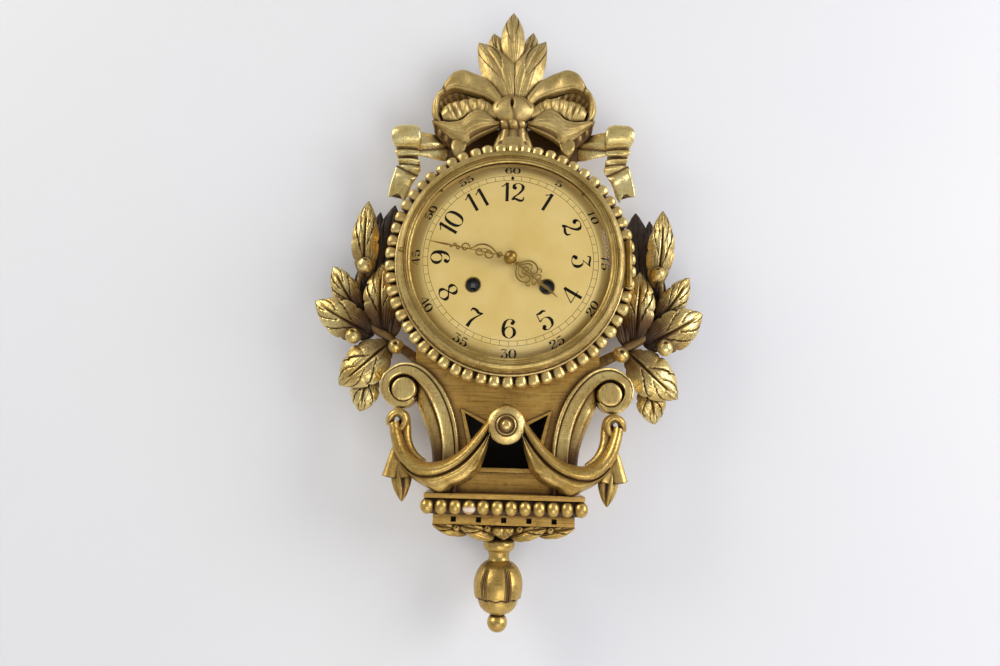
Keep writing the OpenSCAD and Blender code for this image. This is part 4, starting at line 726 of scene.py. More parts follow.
def bow_loop():
    """Left loop of the bow: outer ribbon, the hollow with its folds painted brown as painted shade, and the puckered
    inner ribbon.
    """
    over = [(-13, 176, 57), (-23, 189, 57), (-33, 197, 56), (-43, 202, 55), (-52.6, 205.4, 54), (-62.6, 202.4, 53),
            (-69, 194.6, 52), (-72.8, 187, 51.5), (-78.2, 179.5, 51), (-82, 169.6, 50), (-82.2, 159, 48),
            (-77, 150.6, 46)]
    under = [(-14, 162.5, 55), (-22.4, 171.4, 55), (-31, 176.6, 55), (-39, 179.6, 54), (-47.5, 182.6, 53),
             (-57.8, 185.4, 52), (-65.4, 184, 51), (-70.4, 181, 50.5), (-74.6, 176.4, 50), (-76, 168.6, 49),
             (-74.4, 159, 47.5), (-71, 152.6, 46)]
    outer = rails(over, under, 4, 18,
                  lambda t, v: (1.3 * line(v - 0.94, 0.05) - 1.2 * line(t - 0.62, 0.03)
                                + 0.5 * np.sin(9 * math.pi * t)) * np.sin(math.pi * v) ** 0.4,
                  lambda t, v: 0.5 * line(t - 0.62, 0.02) + 0.3 * line(v - 0.86, 0.03), wide=30, steps=8)
    hollow = rails([(-14, 165, 50), (-24, 173.4, 48), (-36, 179, 45), (-48, 183.6, 43), (-58, 186.6, 42),
                    (-68, 184, 42), (-74.6, 178, 42), (-76.6, 167, 42)],
                   [(-16, 160, 50), (-24, 165, 50), (-34, 170, 50), (-43, 171.5, 49), (-53, 169.6, 48),
                    (-62, 167, 47), (-69, 164, 46), (-73, 158, 46)], -4, 12,
                   lambda t, v: 1.1 * np.sin(21 * math.pi * t + 2 * v) * (t > 0.3) * np.sin(math.pi * v),
                   lambda t, v: 0.26 - 0.2 * np.sin(21 * math.pi * t + 2 * v) * (t > 0.3), wide=24, steps=12)
    pucker_top = [(-18, 163.6, 55), (-22.7, 167.9, 55), (-28.1, 171.8, 55), (-34.6, 173.8, 55), (-41.5, 174.4, 54.4),
                  (-48, 173.6, 54), (-54.7, 172, 53.4), (-60.4, 170.8, 52.8), (-65.2, 169.4, 52), (-70, 166.4, 50.5),
                  (-73.4, 161, 49)]
    pucker_low = [(-18, 152, 54), (-23.6, 153.6, 54), (-28.4, 157, 54), (-33.1, 159, 54), (-38.4, 159.6, 54),
                  (-43.7, 158.6, 53.4), (-49.6, 155.4, 53), (-54, 152.6, 52), (-58, 151, 51.4), (-63, 150.6, 50.4),
                  (-70, 151.4, 48.6)]

    def pleat(t, v):
        return np.cos(15 * math.pi * t - 1.4 * v) * (t > 0.16) * (t < 0.86)

    inner = rails(pucker_top, pucker_low, lambda t: 3.8 + 2.0 * line(t - 0.9, 0.1), 9,
                  lambda t, v: (1.3 * pleat(t, v) + 0.9 * line(v - 0.08, 0.06)) * np.sin(math.pi * v) ** 0.8,
                  lambda t, v: 0.45 * np.clip(-pleat(t, v) - 0.5, 0, 1), lambda t, v: 0.5 * pleat(t, v) * (1 - v),
                  wide=28, steps=12)
    back = [p[:2] for p in curve(over, 3).tolist()] + [(-18, 152)]
    # a board behind the hollow, painted near black as painted shade, so that no wall shows through
    return [outer, hollow, inner, darken(slab(back, 26, 32), 0.95)]


def side_leaf():
    """Left leaf under the bow, with its turned-up edges, and the curled one below it."""
    over = [(-15, 150, 54), (-19.5, 152, 54), (-25.1, 157.6, 54), (-30, 161.2, 54), (-35.9, 163.2, 54),
            (-43.8, 159.6, 53), (-51.4, 152.8, 52), (-62, 150.2, 51), (-72.7, 151.4, 49), (-81.8, 152.8, 47)]
    under = [(-13, 148, 52), (-15, 145.4, 52), (-21, 142, 51), (-27.4, 138.6, 50), (-34.4, 134.6, 49.4),
             (-41, 130.6, 48.6), (-48, 125.6, 48), (-55.4, 129.2, 47), (-68.4, 139, 46), (-81.6, 151.2, 46)]

    def strokes(t, v):
        fine = 0.34 * np.sin(40 * v + 8 * t) * np.clip(1.2 - t, 0, 1) * np.sin(math.pi * v)
        lip = 1.7 * line(v - 0.96, 0.05) * (t < 0.64) + 1.5 * line(v - 0.95, 0.06) * (t > 0.7)
        return fine + lip - 1.3 * line(v - 0.84, 0.05) * (t < 0.6) + line(v - 0.05, 0.05)

    blade = rails(over, under, lambda t: 3.6 + 3.8 * np.sin(math.pi * t), 7, strokes,
                  lambda t, v: 0.6 * line(v - 0.85, 0.03) * (t < 0.6) + 0.12 * (np.sin(40 * v + 8 * t) < -0.85),
                  wide=56, steps=10)
    # the curled leaf lies under the blade and is painted half brown all over as painted shade
    curled = rails([(-81.2, 150.4, 44), (-74.4, 145.6, 46), (-67, 140, 46), (-58.6, 133, 45)],
                   [(-79.4, 142.6, 40), (-75, 137, 40), (-68.4, 131.4, 41), (-60, 126.6, 42)], 2.2, 7,
                   lambda t, v: 1.1 * np.sin(19 * t + 2 * v) * (v < 0.8) + 0.9 * line(v - 0.95, 0.06),
                   lambda t, v: 0.5 - 0.3 * np.sin(19 * t + 2 * v) * (v < 0.8), wide=22)
    # the leaf's own tip, curled under so that it rests on the beads
    drop = rails([(-60.4, 131.6, 49), (-61.4, 126, 50.6), (-60.4, 120.6, 51.6), (-57, 115.6, 50)],
                 [(-45.4, 130.4, 49), (-46.8, 124, 50.6), (-48.6, 119, 51.6), (-52.4, 115.2, 50)], 2.4, 9,
                 lambda t, v: 0.5 * np.sin(7 * v + 2 * t) + 0.8 * line(v - 0.95, 0.06), wide=26)
    return [blade, curled, drop]


def crest_base():
    """Board that the crest stands on, cut round to sit on the drum, and the flared stem in its middle."""
    seat = 104.3
    turn = np.linspace(math.radians(113), math.radians(67), 24)
    outline = ([(-66, 118), (-50, 96)] + [(seat * math.cos(a), seat * math.sin(a)) for a in turn]
               + [(50, 96), (66, 118), (66, 140), (40, 152), (-40, 152), (-66, 140)])
    stem = [(0, 104.4, 38, 21, 13), (0, 118, 38, 22.4, 13), (0, 127, 39, 21.6, 13), (0, 134, 40, 18.6, 13),
            (0, 141, 41, 15.6, 13), (0, 150, 42, 14, 12)]
    v, f, _ = tube(curve(stem, 6), 36, 2.8)
    flute = np.cos(v[:, 0] * 2 * math.pi / 8.5)
    v = v + np.array([0, 0, 1]) * (0.8 * flute * (v[:, 2] > 44))[:, None]
    # the board is painted brown as painted shade under the bow and leaves
    return [darken(slab(outline, 26, 34), 0.62), (v, f, 0.5 * (flute < -0.8))]


def knot():
    """The bow's knot: one puffed lump with a short dark slit and soft folds, and the crumple below it."""
    middle = 53
    v, f, _ = ball((-0.6, 162.8, middle), (22.2, 15.4, 12.2), folds=0.012, count=3, fine=72)
    front = v[:, 2] > middle
    slit = line(v[:, 0] + 2.2, 1.5) * line(v[:, 1] - 167.2, 4.6) * front
    crease = line(v[:, 0] + 1.4 + 0.18 * (v[:, 1] - 160), 2.6) * np.clip((168 - v[:, 1]) / 9, 0, 1) * front
    crease = crease + line(v[:, 1] - 174.6 + 0.04 * v[:, 0] ** 2, 1.8) * (np.abs(v[:, 0]) < 17) * front * 0.6
    v = v - np.array([0, 0, 1]) * (5.5 * slit + 1.6 * crease)[:, None]
    lump = v, f, np.clip(slit * 1.2 + 0.35 * crease, 0, 1)
    crumple = ball((-1, 149.4, 51), (14, 7.4, 8.4), folds=0.055, count=4, fine=48)
    return [lump, crumple]


def ribbon_end():
    """Left ribbon: a broad roll on top, wavy folds where it is pinched, and a notched end that flutters."""
    left = [(-106.4, 148, 40), (-111.6, 147.4, 46), (-117, 143.6, 52), (-119.9, 136.8, 54.8), (-120, 129.8, 53),
            (-118, 125, 48.6), (-116, 122.4, 45.6), (-116.8, 119.6, 49.4), (-116.2, 116.2, 50), (-114.2, 113.2, 46.4),
            (-114.6, 110.2, 49.4), (-113, 106.6, 45.8), (-115.4, 102.6, 48), (-118, 96.4, 45.4), (-119.4, 89.6, 46.4),
            (-121, 81.6, 46), (-122.4, 73.4, 44.4)]
    right = [(-102, 148, 40), (-98, 147.4, 46), (-94.4, 144, 52), (-92.2, 137.6, 54.8), (-92, 129.8, 53),
             (-92.8, 124.8, 48.6), (-94.2, 121.6, 45.6), (-92.8, 118.8, 49.4), (-93.4, 115.4, 50),
             (-94.2, 112.2, 46.4), (-92, 109.4, 49.4), (-92, 105.4, 45.8), (-90.6, 101.8, 48), (-92.4, 97.2, 45.4),
             (-96, 91.4, 45.4), (-100, 84, 44.6), (-103.4, 73.6, 43)]

    def thick(t):
        return 1.4 + 11 * np.clip(1 - (t - 0.27) / 0.08, 0, 1) * np.clip(t / 0.07, 0, 1)

    def folds(t, v):
        wrinkle = 0.5 * np.sin(70 * t + 5 * v) * (t > 0.36) * (t < 0.72)
        slope = t - 0.85 - 0.10 * (v - 0.5)
        turn = 2.4 * line(slope, 0.04) - 2.0 * line(slope + 0.065, 0.03)
        return (wrinkle + turn) * np.sin(math.pi * v) ** 0.35 + 0.7 * line(v - 0.06, 0.05) * (t > 0.7)

    def creases(t, v):
        lines = line(t - 0.375, 0.014) + line(t - 0.5625, 0.014) + line(t - 0.6875, 0.014)
        return 0.8 * lines + 0.6 * line(t - 0.79 - 0.1 * (v - 0.5), 0.016)

    def notch(t, v):
        return np.clip((t - 0.93) * 14, 0, 1) * (3.0 * line(v - 0.5, 0.16) - 5.4 * line(v - 0.8, 0.1))

    hanging = rails(left, right, lambda t: 1.4 + 1.4 * (t < 0.3), thick, folds, creases, notch, wide=30, steps=8,
                    soft=0.5)
    # the arm is painted browner towards its inner end, where it passes behind the leaves under the bow, as painted
    # shade
    arm = rails([(-98, 144, 42), (-93, 143.4, 42), (-82, 143, 38), (-74, 142, 34), (-66.3, 140, 31)],
                [(-98, 120, 42), (-91, 118.4, 40), (-80, 117.4, 37), (-72.6, 116.6, 34), (-66.3, 118, 31)], 3.6, 3,
                lambda t, v: 1.8 * line(v - 0.5 + 0.5 * t - 0.2, 0.1) - 1.3 * line(v - 0.72 + 0.5 * t - 0.2, 0.06),
                lambda t, v: 0.75 * line(v - 0.72 + 0.5 * t - 0.2, 0.04) + 0.5 * np.clip(3 * t - 2.4, 0, 1), wide=26)
    return [hanging, arm]


# ---- console, leaf pads and pendant ----

def console_bead_row():
    """Bead moulding under the console's board: twelve in front and five at each side, set in a channel painted dark
    as painted shade.
    """
    height, step, side_step = -220, 134 / 11, 13.6
    # the channel behind the beads is painted dark as painted shade
    shells = [tube([(-66, height, 38, 7, 37.6), (66, height, 38, 7, 37.6)], 24, 14, 0.75)]
    for i in range(12):
        v, f, cut = ball((-67 + i * step, height, 75.6), (6.15 * rng.uniform(0.96, 1.01), 7.0, 6.7), fine=28)
        if i == 3:
            # this one has lost its paint below
            cut = cut - np.clip(1.5 - np.abs(v[:, 1] + 222.4) / 2.4, 0, 1) * (v[:, 2] > 76)
        shells.append((v, f, cut))
    for s in (-1, 1):
        for j in range(5):
            shells.append(ball((s * 66, height, 66 - j * side_step), (6, 6.9, 6.1)))
    build("console_bead_row", shells, GILT_WARM, stands_for=("console_beads",))


def leaf_pads():
    """Apron under the console: curled leaf pads that fan out from the middle, berries in the hollows between them,
    and a block behind that tapers back."""
    block = []
    for k in range(9):
        t = k / 8
        half, near, far = 56 - 33 * t ** 1.6, 62 - 15 * t ** 1.4, 14 * t ** 1.4
        ca, sa = rounded(40, 0.3)
        depth = (near + far) / 2 + (near - far) / 2 * sa
        block.append(np.column_stack([half * ca, np.full(40, -235.5 - 14 * t), depth]))
    side = [leaf((-31, -244.4, 58), (-63, -236.8, 64), 14, 4.6, 3.4, -1.6, 2, 0.4, 0.06, 0.3, 2, 0.9, mark=0.8),
            leaf((-7, -246.8, 57), (-38.6, -237.4, 65), 17.5, 5.4, 4, -2.6, 2, 0.4, 0.06, 0.35, 2, 0.85, mark=0.8)]
    # the block behind the pads is painted near black as painted shade
    shells = ([darken(skin(np.array(block)), 0.9)] + side + mirrored(side)
              + [leaf((0, -235, 64), (0.6, -249, 61), 20, 5.4, 3.4, 0, 2, 0.4, 0.05, blunt=0.62, mark=0.7, rows=50)])
    for x in (-41.4, -14.2, 14.2, 41.4):
        shells.append(ball((x, -238.8, 66.4), (3.4, 3.4, 3.4), (0, 0.2, 1), fine=28))
    build("leaf_pads", shells, GILT_WARM, stands_for=("leaf_apron",))


def fluted_pendant():
    """Turned pendant: a collar, a bulb cut into six lobes by double grooves over a plain bowl, and a ball."""
    top, mid, out = -251.0, -290.0, 42
    profile = [(0.3, top), (12.6, top), (13.6, top - 0.7), (14.4, top - 2.4), (14.5, top - 4.4), (14.2, top - 6.4),
               (13.4, top - 8.4), (12, top - 9.6), (10.4, top - 10), (9.9, top - 10.8), (9.4, top - 12.6),
               (9.1, top - 14.8), (9.3, top - 17), (10.2, top - 18.8), (12.8, top - 20)]
    bulb = curve([(13.4, mid + 18.6), (17, mid + 15), (20, mid + 9.6), (21.6, mid + 4), (22, mid - 1),
                  (21.6, mid - 6), (20.9, mid - 10), (20.3, mid - 12.4), (19, mid - 15.6), (16.4, mid - 19.4),
                  (12.4, mid - 22.8), (8, mid - 25), (5, mid - 26)], 8)
    foot = [(4.6, mid - 26.6), (0.3, mid - 26.8)]
    first, pitch = math.radians(90 + 36), math.radians(60)

    def side(a):
        """How far an angle lies from the nearest pair of grooves."""
        return np.abs((a - first + pitch / 2) % pitch - pitch / 2)

    def hem(a):
        """The nearly level lower edge of the lobes."""
        return mid - 10.2 - 1.2 * np.cos(6 * (a - first)) ** 2

    def grooves(a, h):
        near = side(a) * 21
        return (line(near - 0.9, 0.5) + 0.8 * line(near - 2.5, 0.35)) * np.clip((mid + 18.4 - h) / 4, 0, 1)

    def lobes(a, h):
        on = np.clip((h - hem(a)) / 0.7, 0, 1) * (h < mid + 18.4)
        puff = 0.014 * np.cos((side(a) - pitch / 2) * 3) * on
        step = 0.1 * (h <= hem(a)) * (h > mid - 25) * np.clip((h - mid + 24) / 10, 0, 1)
        return 1 + puff - 0.05 * grooves(a, h) * on - step

    def cuts(a, h):
        # brown wash in the grooves, and a band under the lobes' hem painted brown as painted shade
        return np.clip(grooves(a, h) * (h > hem(a)) + 0.9 * line(h - hem(a) + 0.5, 0.8), 0, 1) * (h < mid + 18.4)

    body = lathe(profile + bulb.tolist() + foot, (0, 0, out), True, 240, lobes, cut=cuts)
    knob = ball((0, mid - 32.6, out), (8.9, 8.6, 8.9), fine=32)
    # it hangs a little to the left of the middle
    turned = [moved(shell, x=-3.2) for shell in (body, knob)]
    build("fluted_pendant", turned, GILT_WARM, stands_for=("finial",), corner=40)


# ---- the dial's printed figures ----

# how far the dial's flat middle stands out and its radius, and the width and fall of its margin; the minute track's
# two lines; how deep the ink lies in the sheet, how far it stands proud, and half the width of a thin line
DIAL_OUT, DIAL_FLAT, MARGIN, FALL = 88, 80.5, 11, 6.2
TRACK_IN, TRACK_OUT = 75.2, 79.7
SUNK, PROUD, HAIR = 0.15, 0.05, 0.17

# Each figure in a box one unit high: strokes as (points, widths or None for a pen that is thick when it runs
# upright, closed) and round ends as (x, y, radius).
FIGURES = {
    "0": ([([(0, .47), (-.19, .34), (-.255, 0), (-.19, -.34), (0, -.47), (.19, -.34), (.255, 0), (.19, .34)],
            None, True)], []),
    "1": ([([(.03, .5), (.03, -.5)], (.14, .14), False), ([(-.2, .29), (-.11, .34), (-.02, .47)],
                                                          (.035, .05, .04), False)], [(-.19, .29, .035)]),
    "2": ([([(-.19, .2), (-.17, .38), (0, .475), (.19, .36), (.2, .16), (.05, -.06), (-.15, -.24), (-.25, -.42)],
            None, False), ([(-.25, -.40), (-.12, -.36), (.06, -.44), (.2, -.42), (.26, -.24)],
                           (.05, .11, .13, .1, .03), False)], [(-.155, .225, .095)]),
    "3": ([([(-.22, .30), (-.2, .44), (-.06, .44), (.1, .40), (.24, .45)], (.035, .08, .1, .1, .05), False),
           ([(.23, .45), (.1, .28), (-.04, .09)], (.045, .04, .04), False),
           ([(-.05, .09), (.12, .08), (.24, -.12), (.2, -.36), (0, -.475), (-.17, -.42), (-.21, -.28)], None, False)],
          [(-.155, -.27, .095)]),
    "4": ([([(.12, .5), (.12, -.5)], (.14, .14), False),
           ([(.1, .49), (-.1, .18), (-.3, -.16)], (.04, .04, .04), False),
           ([(-.31, -.17), (.31, -.17)], (.045, .045), False)], []),
    "5": ([([(-.2, .44), (-.06, .42), (.1, .45), (.22, .38)], (.06, .12, .12, .035), False),
           ([(-.2, .45), (-.22, .03)], (.04, .04), False),
           ([(-.22, .03), (-.04, .12), (.16, .07), (.25, -.14), (.18, -.37), (-.02, -.475), (-.17, -.42),
             (-.21, -.28)], None, False)], [(-.155, -.27, .09)]),
    "6": ([([(.2, .28), (.16, .42), (.02, .475), (-.16, .34), (-.245, .02), (-.2, -.32), (0, -.475), (.18, -.37),
             (.245, -.17), (.17, .03), (0, .095), (-.16, 0), (-.23, -.12)], None, False)], [(.145, .27, .085)]),
    "7": ([([(-.26, .26), (-.23, .41), (-.08, .43), (.08, .37), (.25, .45)], (.035, .1, .14, .13, .05), False),
           ([(.25, .45), (.08, .14), (-.03, -.16), (-.05, -.5)], (.045, .07, .12, .16), False)], []),
    "8": ([([(0, .475), (-.17, .37), (-.17, .17), (0, .03), (.2, -.13), (.22, -.33), (0, -.475), (-.22, -.33),
             (-.2, -.14), (0, .03), (.16, .18), (.16, .37)], None, True)], []),
}
FIGURES["9"] = ([([(-x, -y) for x, y in points], widths, closed) for points, widths, closed in FIGURES["6"][0]],
                [(-x, -y, r) for x, y, r in FIGURES["6"][1]])


def dial_height(x, y):
    """Height of the dial's face: flat in the middle and falling over its margin."""
    return DIAL_OUT - np.clip(np.hypot(x, y) - DIAL_FLAT, 0, MARGIN) * FALL / MARGIN


def inked(ring):
    """Points of a flat print, as pairs of a low and a high point on the dial."""
    x, y = ring[..., 0], ring[..., 1]
    face = dial_height(x, y)
    return np.stack([x, y, face - SUNK], axis=-1), np.stack([x, y, face + PROUD], axis=-1)


def number(text, minute, radius, height, thick, thin, pitch, wide):
    """A printed number at a minute of the dial, with its middle on a radius; those in the lower half stand the other
    way up. Thick and thin are the pen's strokes, pitch the step between two figures, all in mm, and wide stretches
    the figures sideways."""
    angle = math.radians(6 * minute)
    flip = -1 if abs(6 * minute - 180) < 85 else 1
    right = np.array([math.cos(angle), -math.sin(angle)]) * flip
    up = np.array([math.sin(angle), math.cos(angle)]) * flip
    centre = np.array([math.sin(angle), math.cos(angle)]) * radius
    shells = []
    for k, figure in enumerate(text):
        shift = (k - (len(text) - 1) / 2) * pitch

        def place(p):
            return centre + right * (p[..., 0:1] * height * wide + shift) + up * p[..., 1:2] * height

        for points, widths, closed in FIGURES[figure][0]:
            rows = [(x, y, w) for (x, y), w in zip(points, widths or [0] * len(points))]
            c = curve(rows, 7, closed)
            run = np.roll(c, -1, 0) - np.roll(c, 1, 0) if closed else np.gradient(c, axis=0)
            run = run[:, :2] / (np.linalg.norm(run[:, :2], axis=1)[:, None] + 1e-9)
            w = c[:, 2] if widths else (thin + (thick - thin) * np.abs(run[:, 1]) ** 2.2) / height
            side = np.column_stack([-run[:, 1], run[:, 0]]) * w[:, None] / 2
            (a, b), (c1, d) = inked(place(c[:, :2] + side)), inked(place(c[:, :2] - side))
            shells.append(skin(np.stack([a, b, d, c1], axis=1), loop=closed))
        for x, y, r in FIGURES[figure][1]:
            a = np.arange(16) * math.pi / 8
            low, high = inked(place(np.column_stack([x + r * np.cos(a), y + r * np.sin(a)])))
            shells.append(skin(np.stack([low, high])))
    return shells


def dial_print():
    """Hour and minute figures, and the minute track with its ticks and triangles."""
    shells = []
    for r in (TRACK_IN, TRACK_OUT):
        h = float(dial_height(r, 0))
        ring = [(r - HAIR, h - SUNK), (r + HAIR, h - SUNK), (r + HAIR, h + PROUD), (r - HAIR, h + PROUD)]
        shells.append(lathe(ring, (0, 0, 0), sides=180, loop=True))
    for minute in range(60):
        a = math.radians(6 * minute)
        out, side = np.array([math.sin(a), math.cos(a)]), np.array([math.cos(a), -math.sin(a)])
        # a tick at each minute, a triangle at each fifth, and a dot at the top, as distances out and sideways
        marks = [[(TRACK_IN, -HAIR), (TRACK_OUT, -HAIR), (TRACK_OUT, HAIR), (TRACK_IN, HAIR)]]
        if minute % 5 == 0:
            marks.append([(78.2, -0.12), (78.2, 0.12), (81.1, 1.0), (81.1, -1.0)])
        if minute == 0:
            marks.append([(77.4 + 1.6 * math.cos(k * math.pi / 8), 1.5 * math.sin(k * math.pi / 8))
                          for k in range(16)])
        for mark in marks:
            low, high = inked(np.array([out * r + side * w for r, w in mark]))
            shells.append(skin(np.stack([low, high])))
    for hour in range(1, 13):
        at = hour * 5 % 60
        shells += number(str(hour), at, radius=64, height=18.2, thick=2.6, thin=0.55, pitch=10.8, wide=1.14)
        shells += number(str(hour * 5), at, radius=86.2, height=7.8, thick=1.4, thin=0.42, pitch=7.4, wide=1.35)
    build("dial_figures", shells, INK, corner=30)


def winding_eyelets():
    """Brass eyelets pressed into the two winding holes, which lie across and below the dial's middle."""
    across, below = 33.3, -24.7
    rim = [(6.62, 87.6), (7.5, 87.9), (7.5, 88.25), (7.2, 88.5), (6.9, 88.5), (6.62, 88.2)]
    shells = [lathe(rim, (s * across, below, 0), sides=48, loop=True) for s in (-1, 1)]
    build("winding_eyelets", shells, FITTING)


# ---- hands, drawn pointing up and turned to the time shown ----

# degrees from the top, clockwise
HOUR_SHOWN, MINUTE_SHOWN = 129, 280.5


def to_time(shells, degrees):
    """A hand turned clockwise from the top of the dial."""
    c, s = math.cos(math.radians(degrees)), math.sin(math.radians(degrees))
    turn = np.array([[c, -s, 0], [s, c, 0], [0, 0, 1]])
    return [(v @ turn, f, cut) for v, f, cut in shells]


def wire(points, level, half=0.5, thin=0.3):
    """Sawn and filed strip along a curve, swelling in its middle like a pen stroke."""
    p = curve(points, 7)
    t = np.linspace(0, 1, len(p))
    w = thin + (half - thin) * np.sin(math.pi * t) ** 0.6
    return tube(np.column_stack([p, np.full(len(p), level + 0.5), w, np.full(len(p), 0.48)]), 10, 3)


def hub(bore, rim, level):
    """The hand's round boss, with a bevel round its front."""
    profile = [(bore, level), (rim, level), (rim, level + 0.7), (rim - 0.4, level + 0.98), (bore, level + 0.98)]
    return lathe(profile, (0, 0, 0), sides=40, loop=True)


def minute_scrolls():
    """Minute hand: a chain of open scrolls that get smaller, then a fine tip."""
    level = 93.4
    shells = [hub(2.05, 5, level)]

    def ringlet(x, y, r, way):
        """An open curl round x, y that ends inside itself; way is 1 for right and -1 for left."""
        turns = np.linspace(-0.5 * math.pi, 1.55 * math.pi, 12)
        size = r * np.clip(1.0 - 0.045 * np.arange(12), 0.4, 1)
        return wire([(x + way * c * math.cos(t), y + c * math.sin(t)) for t, c in zip(turns, size)], level, 0.7, 0.5)

    shells += [ringlet(0.6, 10.4, 2.2, 1), ringlet(-0.6, 10.8, 1.8, -1), ringlet(-0.9, 20, 4.3, -1),
               ringlet(-0.5, 28.8, 3.9, -1), ringlet(0.8, 42, 4, 1), ringlet(-0.6, 48.6, 1.7, -1),
               ringlet(0.8, 51.8, 1.5, 1), ringlet(-0.6, 54.8, 1.2, -1),
               wire([(0, 12), (2.4, 14.6), (5.6, 19.4), (6.9, 25), (5.6, 30.6), (2.2, 34.8), (0.2, 38)], level,
                    0.8, 0.45),
               wire([(0.4, 17), (2.4, 20.6), (3, 24.6), (1.6, 27.6)], level, 0.45),
               wire([(0, 4.6), (0, 20), (0, 38), (0, 58)], level, 0.5, 0.4)]
    tip = [(-0.4, 55), (0.4, 55), (0.9, 58), (0.3, 74), (-0.3, 74), (-0.9, 58)]
    shells.append(slab(tip, level, level + 1, 0.25))
    build("minute_scrolls", to_time(shells, MINUTE_SHOWN), HAND_GILT, "minute_hand", ("minute_hand",))


def hour_scrolls():
    """Hour hand: a pierced heart of scrolls, and a spear point."""
    level = 90.4
    one_side = [wire([(0.6, 6), (2.6, 9.4), (6.4, 11.6), (9.8, 15.6), (10.4, 20.6), (8.2, 25), (4.6, 26.4),
                      (2.2, 24.2), (2.6, 21), (5, 20.2)], level, 0.75, 0.4),
                wire([(0.7, 10.4), (3.4, 12.6), (6.6, 15.4), (7.4, 18.8), (5.4, 20.8)], level, 0.6),
                wire([(0.5, 14), (2.4, 15.6), (3.2, 18), (1.8, 19.6), (0.4, 18.4)], level, 0.5),
                wire([(8.4, 24.6), (9.8, 27.4), (8.6, 29.2), (7.2, 28)], level, 0.5),
                wire([(0.4, 24.4), (2.2, 27.6), (4.8, 28.8), (5.2, 31.4), (3.4, 32.4), (2.4, 30.8)], level, 0.55),
                wire([(0.3, 31), (1.8, 32.8), (1.9, 35.2), (0.4, 37)], level, 0.5)]
    shells = [hub(3.25, 6, level)] + one_side + mirrored(one_side)
    shells.append(wire([(0, 5), (0, 20), (0, 37)], level, 0.7, 0.5))
    tip = [(-0.5, 35), (0.5, 35), (1.5, 38), (1.2, 42), (0.35, 55), (-0.35, 55), (-1.2, 42), (-1.5, 38)]
    shells.append(slab(tip, level, level + 1, 0.25))
    build("hour_scrolls", to_time(shells, HOUR_SHOWN), HAND_GILT, "hour_hand", ("hour_hand",))


# ---- put the pieces on the clock ----

beaded_ring()
rosette_button()
for side, turn in (("left", list), ("right", mirrored)):
    build("scroll_bracket_" + side, turn(scroll_bracket()), GILT, stands_for=("scroll_" + side,))
    build("cloth_swag_" + side, turn(cloth_swag()), GILT_WARM, stands_for=("swag_" + side,), corner=60)
for side, turn in (("left", list), ("right", leaning)):
    build("laurel_spray_" + side, turn(laurel_spray()), GILT_DARK, stands_for=("spray_" + side,))
for side, turn in (("left", list), ("right", lifted)):
    build("bow_loop_" + side, turn(bow_loop()), GILT_CREST, stands_for=("bow_" + side,), corner=60)
    build("ribbon_end_" + side, turn(ribbon_end()), GILT_PALE, stands_for=("ribbon_" + side,), corner=60)
build("crest_leaf_cluster", crest_cluster(), GILT_CREST, stands_for=("crest_leaves",))
build("crest_side_leaves", crest_base() + side_leaf() + lifted(side_leaf()), GILT_CREST,
      stands_for=("bow_leaves",), corner=60)
build("ribbon_knot", knot(), GILT_CREST, stands_for=("bow_knot",), corner=60)
console_bead_row()
leaf_pads()
fluted_pendant()
dial_print()
winding_eyelets()
minute_scrolls()
hour_scrolls()

# sawn boards of the case get eased edges
for name in ("waist_front", "waist_side_left", "waist_side_right", "console_board", "console_fillet"):
    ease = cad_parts[name].modifiers.new("eased_edges", "BEVEL")
    ease.width, ease.segments, ease.limit_method, ease.angle_limit = 0.6 * MM, 2, "ANGLE", math.radians(40)


# ---- studio: wall, floor, lamps and camera ----

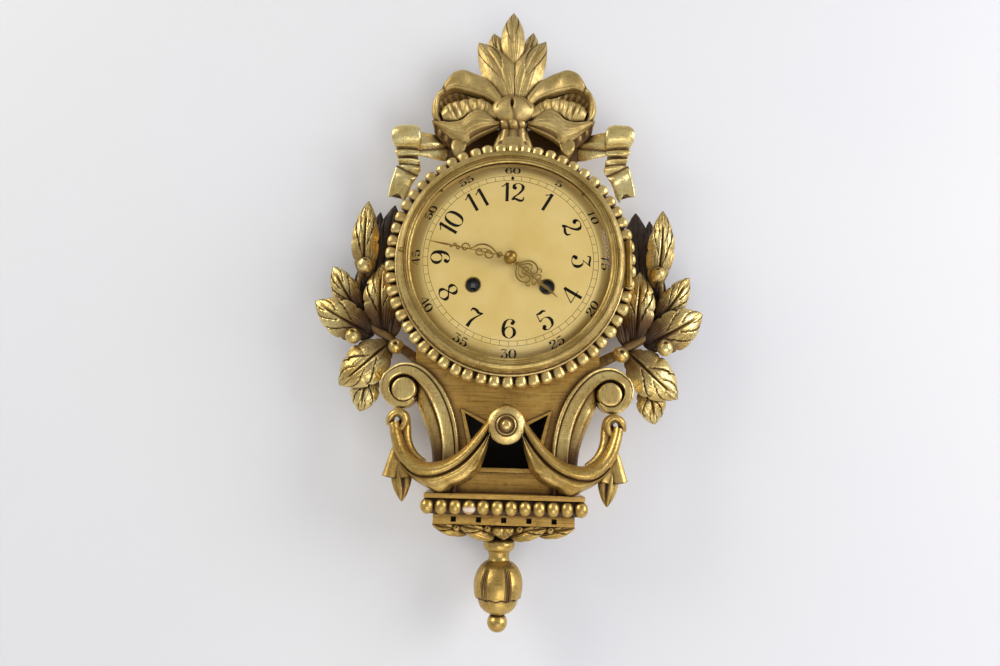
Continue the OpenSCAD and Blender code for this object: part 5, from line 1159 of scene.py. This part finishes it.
def studio():
    """White wall just behind the clock, and the floor below it, both in matt paint."""
    mat, tree, shader, place, out = blank("matt_white_wall")
    fleck = add(tree, "ShaderNodeTexNoise", {"Vector": place, "Scale": 1000 / 300, "Detail": 2.0})
    colour = add(tree, "ShaderNodeMix", {0: fleck, 6: "#E0E0E4", 7: "#E4E3E1"}, data_type="RGBA").outputs[2]
    tree.links.new(colour, shader.inputs["Base Color"])
    shader.inputs["Roughness"].default_value = 0.9
    # the wall shows from the room only, so that the clock's back can be looked at
    behind = add(tree, "ShaderNodeNewGeometry").outputs["Backfacing"]
    clear = add(tree, "ShaderNodeBsdfTransparent")
    both = add(tree, "ShaderNodeMixShader", {0: behind, 1: shader, 2: clear})
    tree.links.new(both.outputs[0], out.inputs["Surface"])
    # in metres: half the width, the wall's place behind the clock, both heights, and how far out the floor goes
    side, wall, floor, top, room = 4, 0.6 * MM, -1.6, 3, -6
    for name, corners in (("studio_wall", [(-side, wall, floor), (side, wall, floor), (side, wall, top),
                                           (-side, wall, top)]),
                          ("studio_floor", [(-side, room, floor), (side, room, floor), (side, wall, floor),
                                            (-side, wall, floor)])):
        surface = bpy.data.meshes.new(name)
        surface.from_pydata(corners, [], [(0, 1, 2, 3)])
        surface.materials.append(mat)
        thing = bpy.data.objects.new(name, surface)
        bpy.context.collection.objects.link(thing)
        thing.visible_shadow = False


def lamp(name, spot, target, size, power, tint="#FFFFFF"):
    """A square-edged soft lamp that faces its target."""
    light = bpy.data.lights.new(name, "AREA")
    light.shape = "RECTANGLE"
    light.size, light.size_y = size
    light.energy = power
    light.color = linear(tint)[:3]
    holder = bpy.data.objects.new(name, light)
    holder.location = spot
    holder.rotation_euler = (Vector(target) - Vector(spot)).to_track_quat("-Z", "Y").to_euler()
    bpy.context.collection.objects.link(holder)


studio()
lamp("window_left", (-1.75, -0.95, 1.1), (0, 0, 0), (1.0, 1.4), 26, "#FFFCF4")
lamp("window_right", (1.75, -1.05, 0.35), (0, 0, 0), (1.0, 1.4), 27, "#F8F9FF")
lamp("fill_low", (0.4, -1.8, -1.3), (0, 0, -0.2), (1.6, 1.0), 12)
lamp("fill_back", (0.3, 1.8, 0.8), (0, 0, 0), (1.6, 1.6), 15)

world = bpy.data.worlds.new("room")
bpy.context.scene.world = world
world.use_nodes = True
world.node_tree.nodes["Background"].inputs["Color"].default_value = linear("#E9EAEE")
world.node_tree.nodes["Background"].inputs["Strength"].default_value = 0.48

# The camera stands close and a little below the clock's middle, looks up by 9.5 degrees, and is rolled by 1.6.
view = bpy.data.cameras.new("camera")
view.lens, view.sensor_width = 24.0, 36.0
camera = bpy.data.objects.new("camera", view)
camera.matrix_world = (Matrix.Translation((-0.0078, -0.673, -0.166))
                       @ Matrix.Rotation(math.radians(99.5), 4, "X") @ Matrix.Rotation(math.radians(1.6), 4, "Z"))
bpy.context.collection.objects.link(camera)
bpy.context.scene.camera = camera
bpy.context.scene.view_settings.view_transform = "Standard"
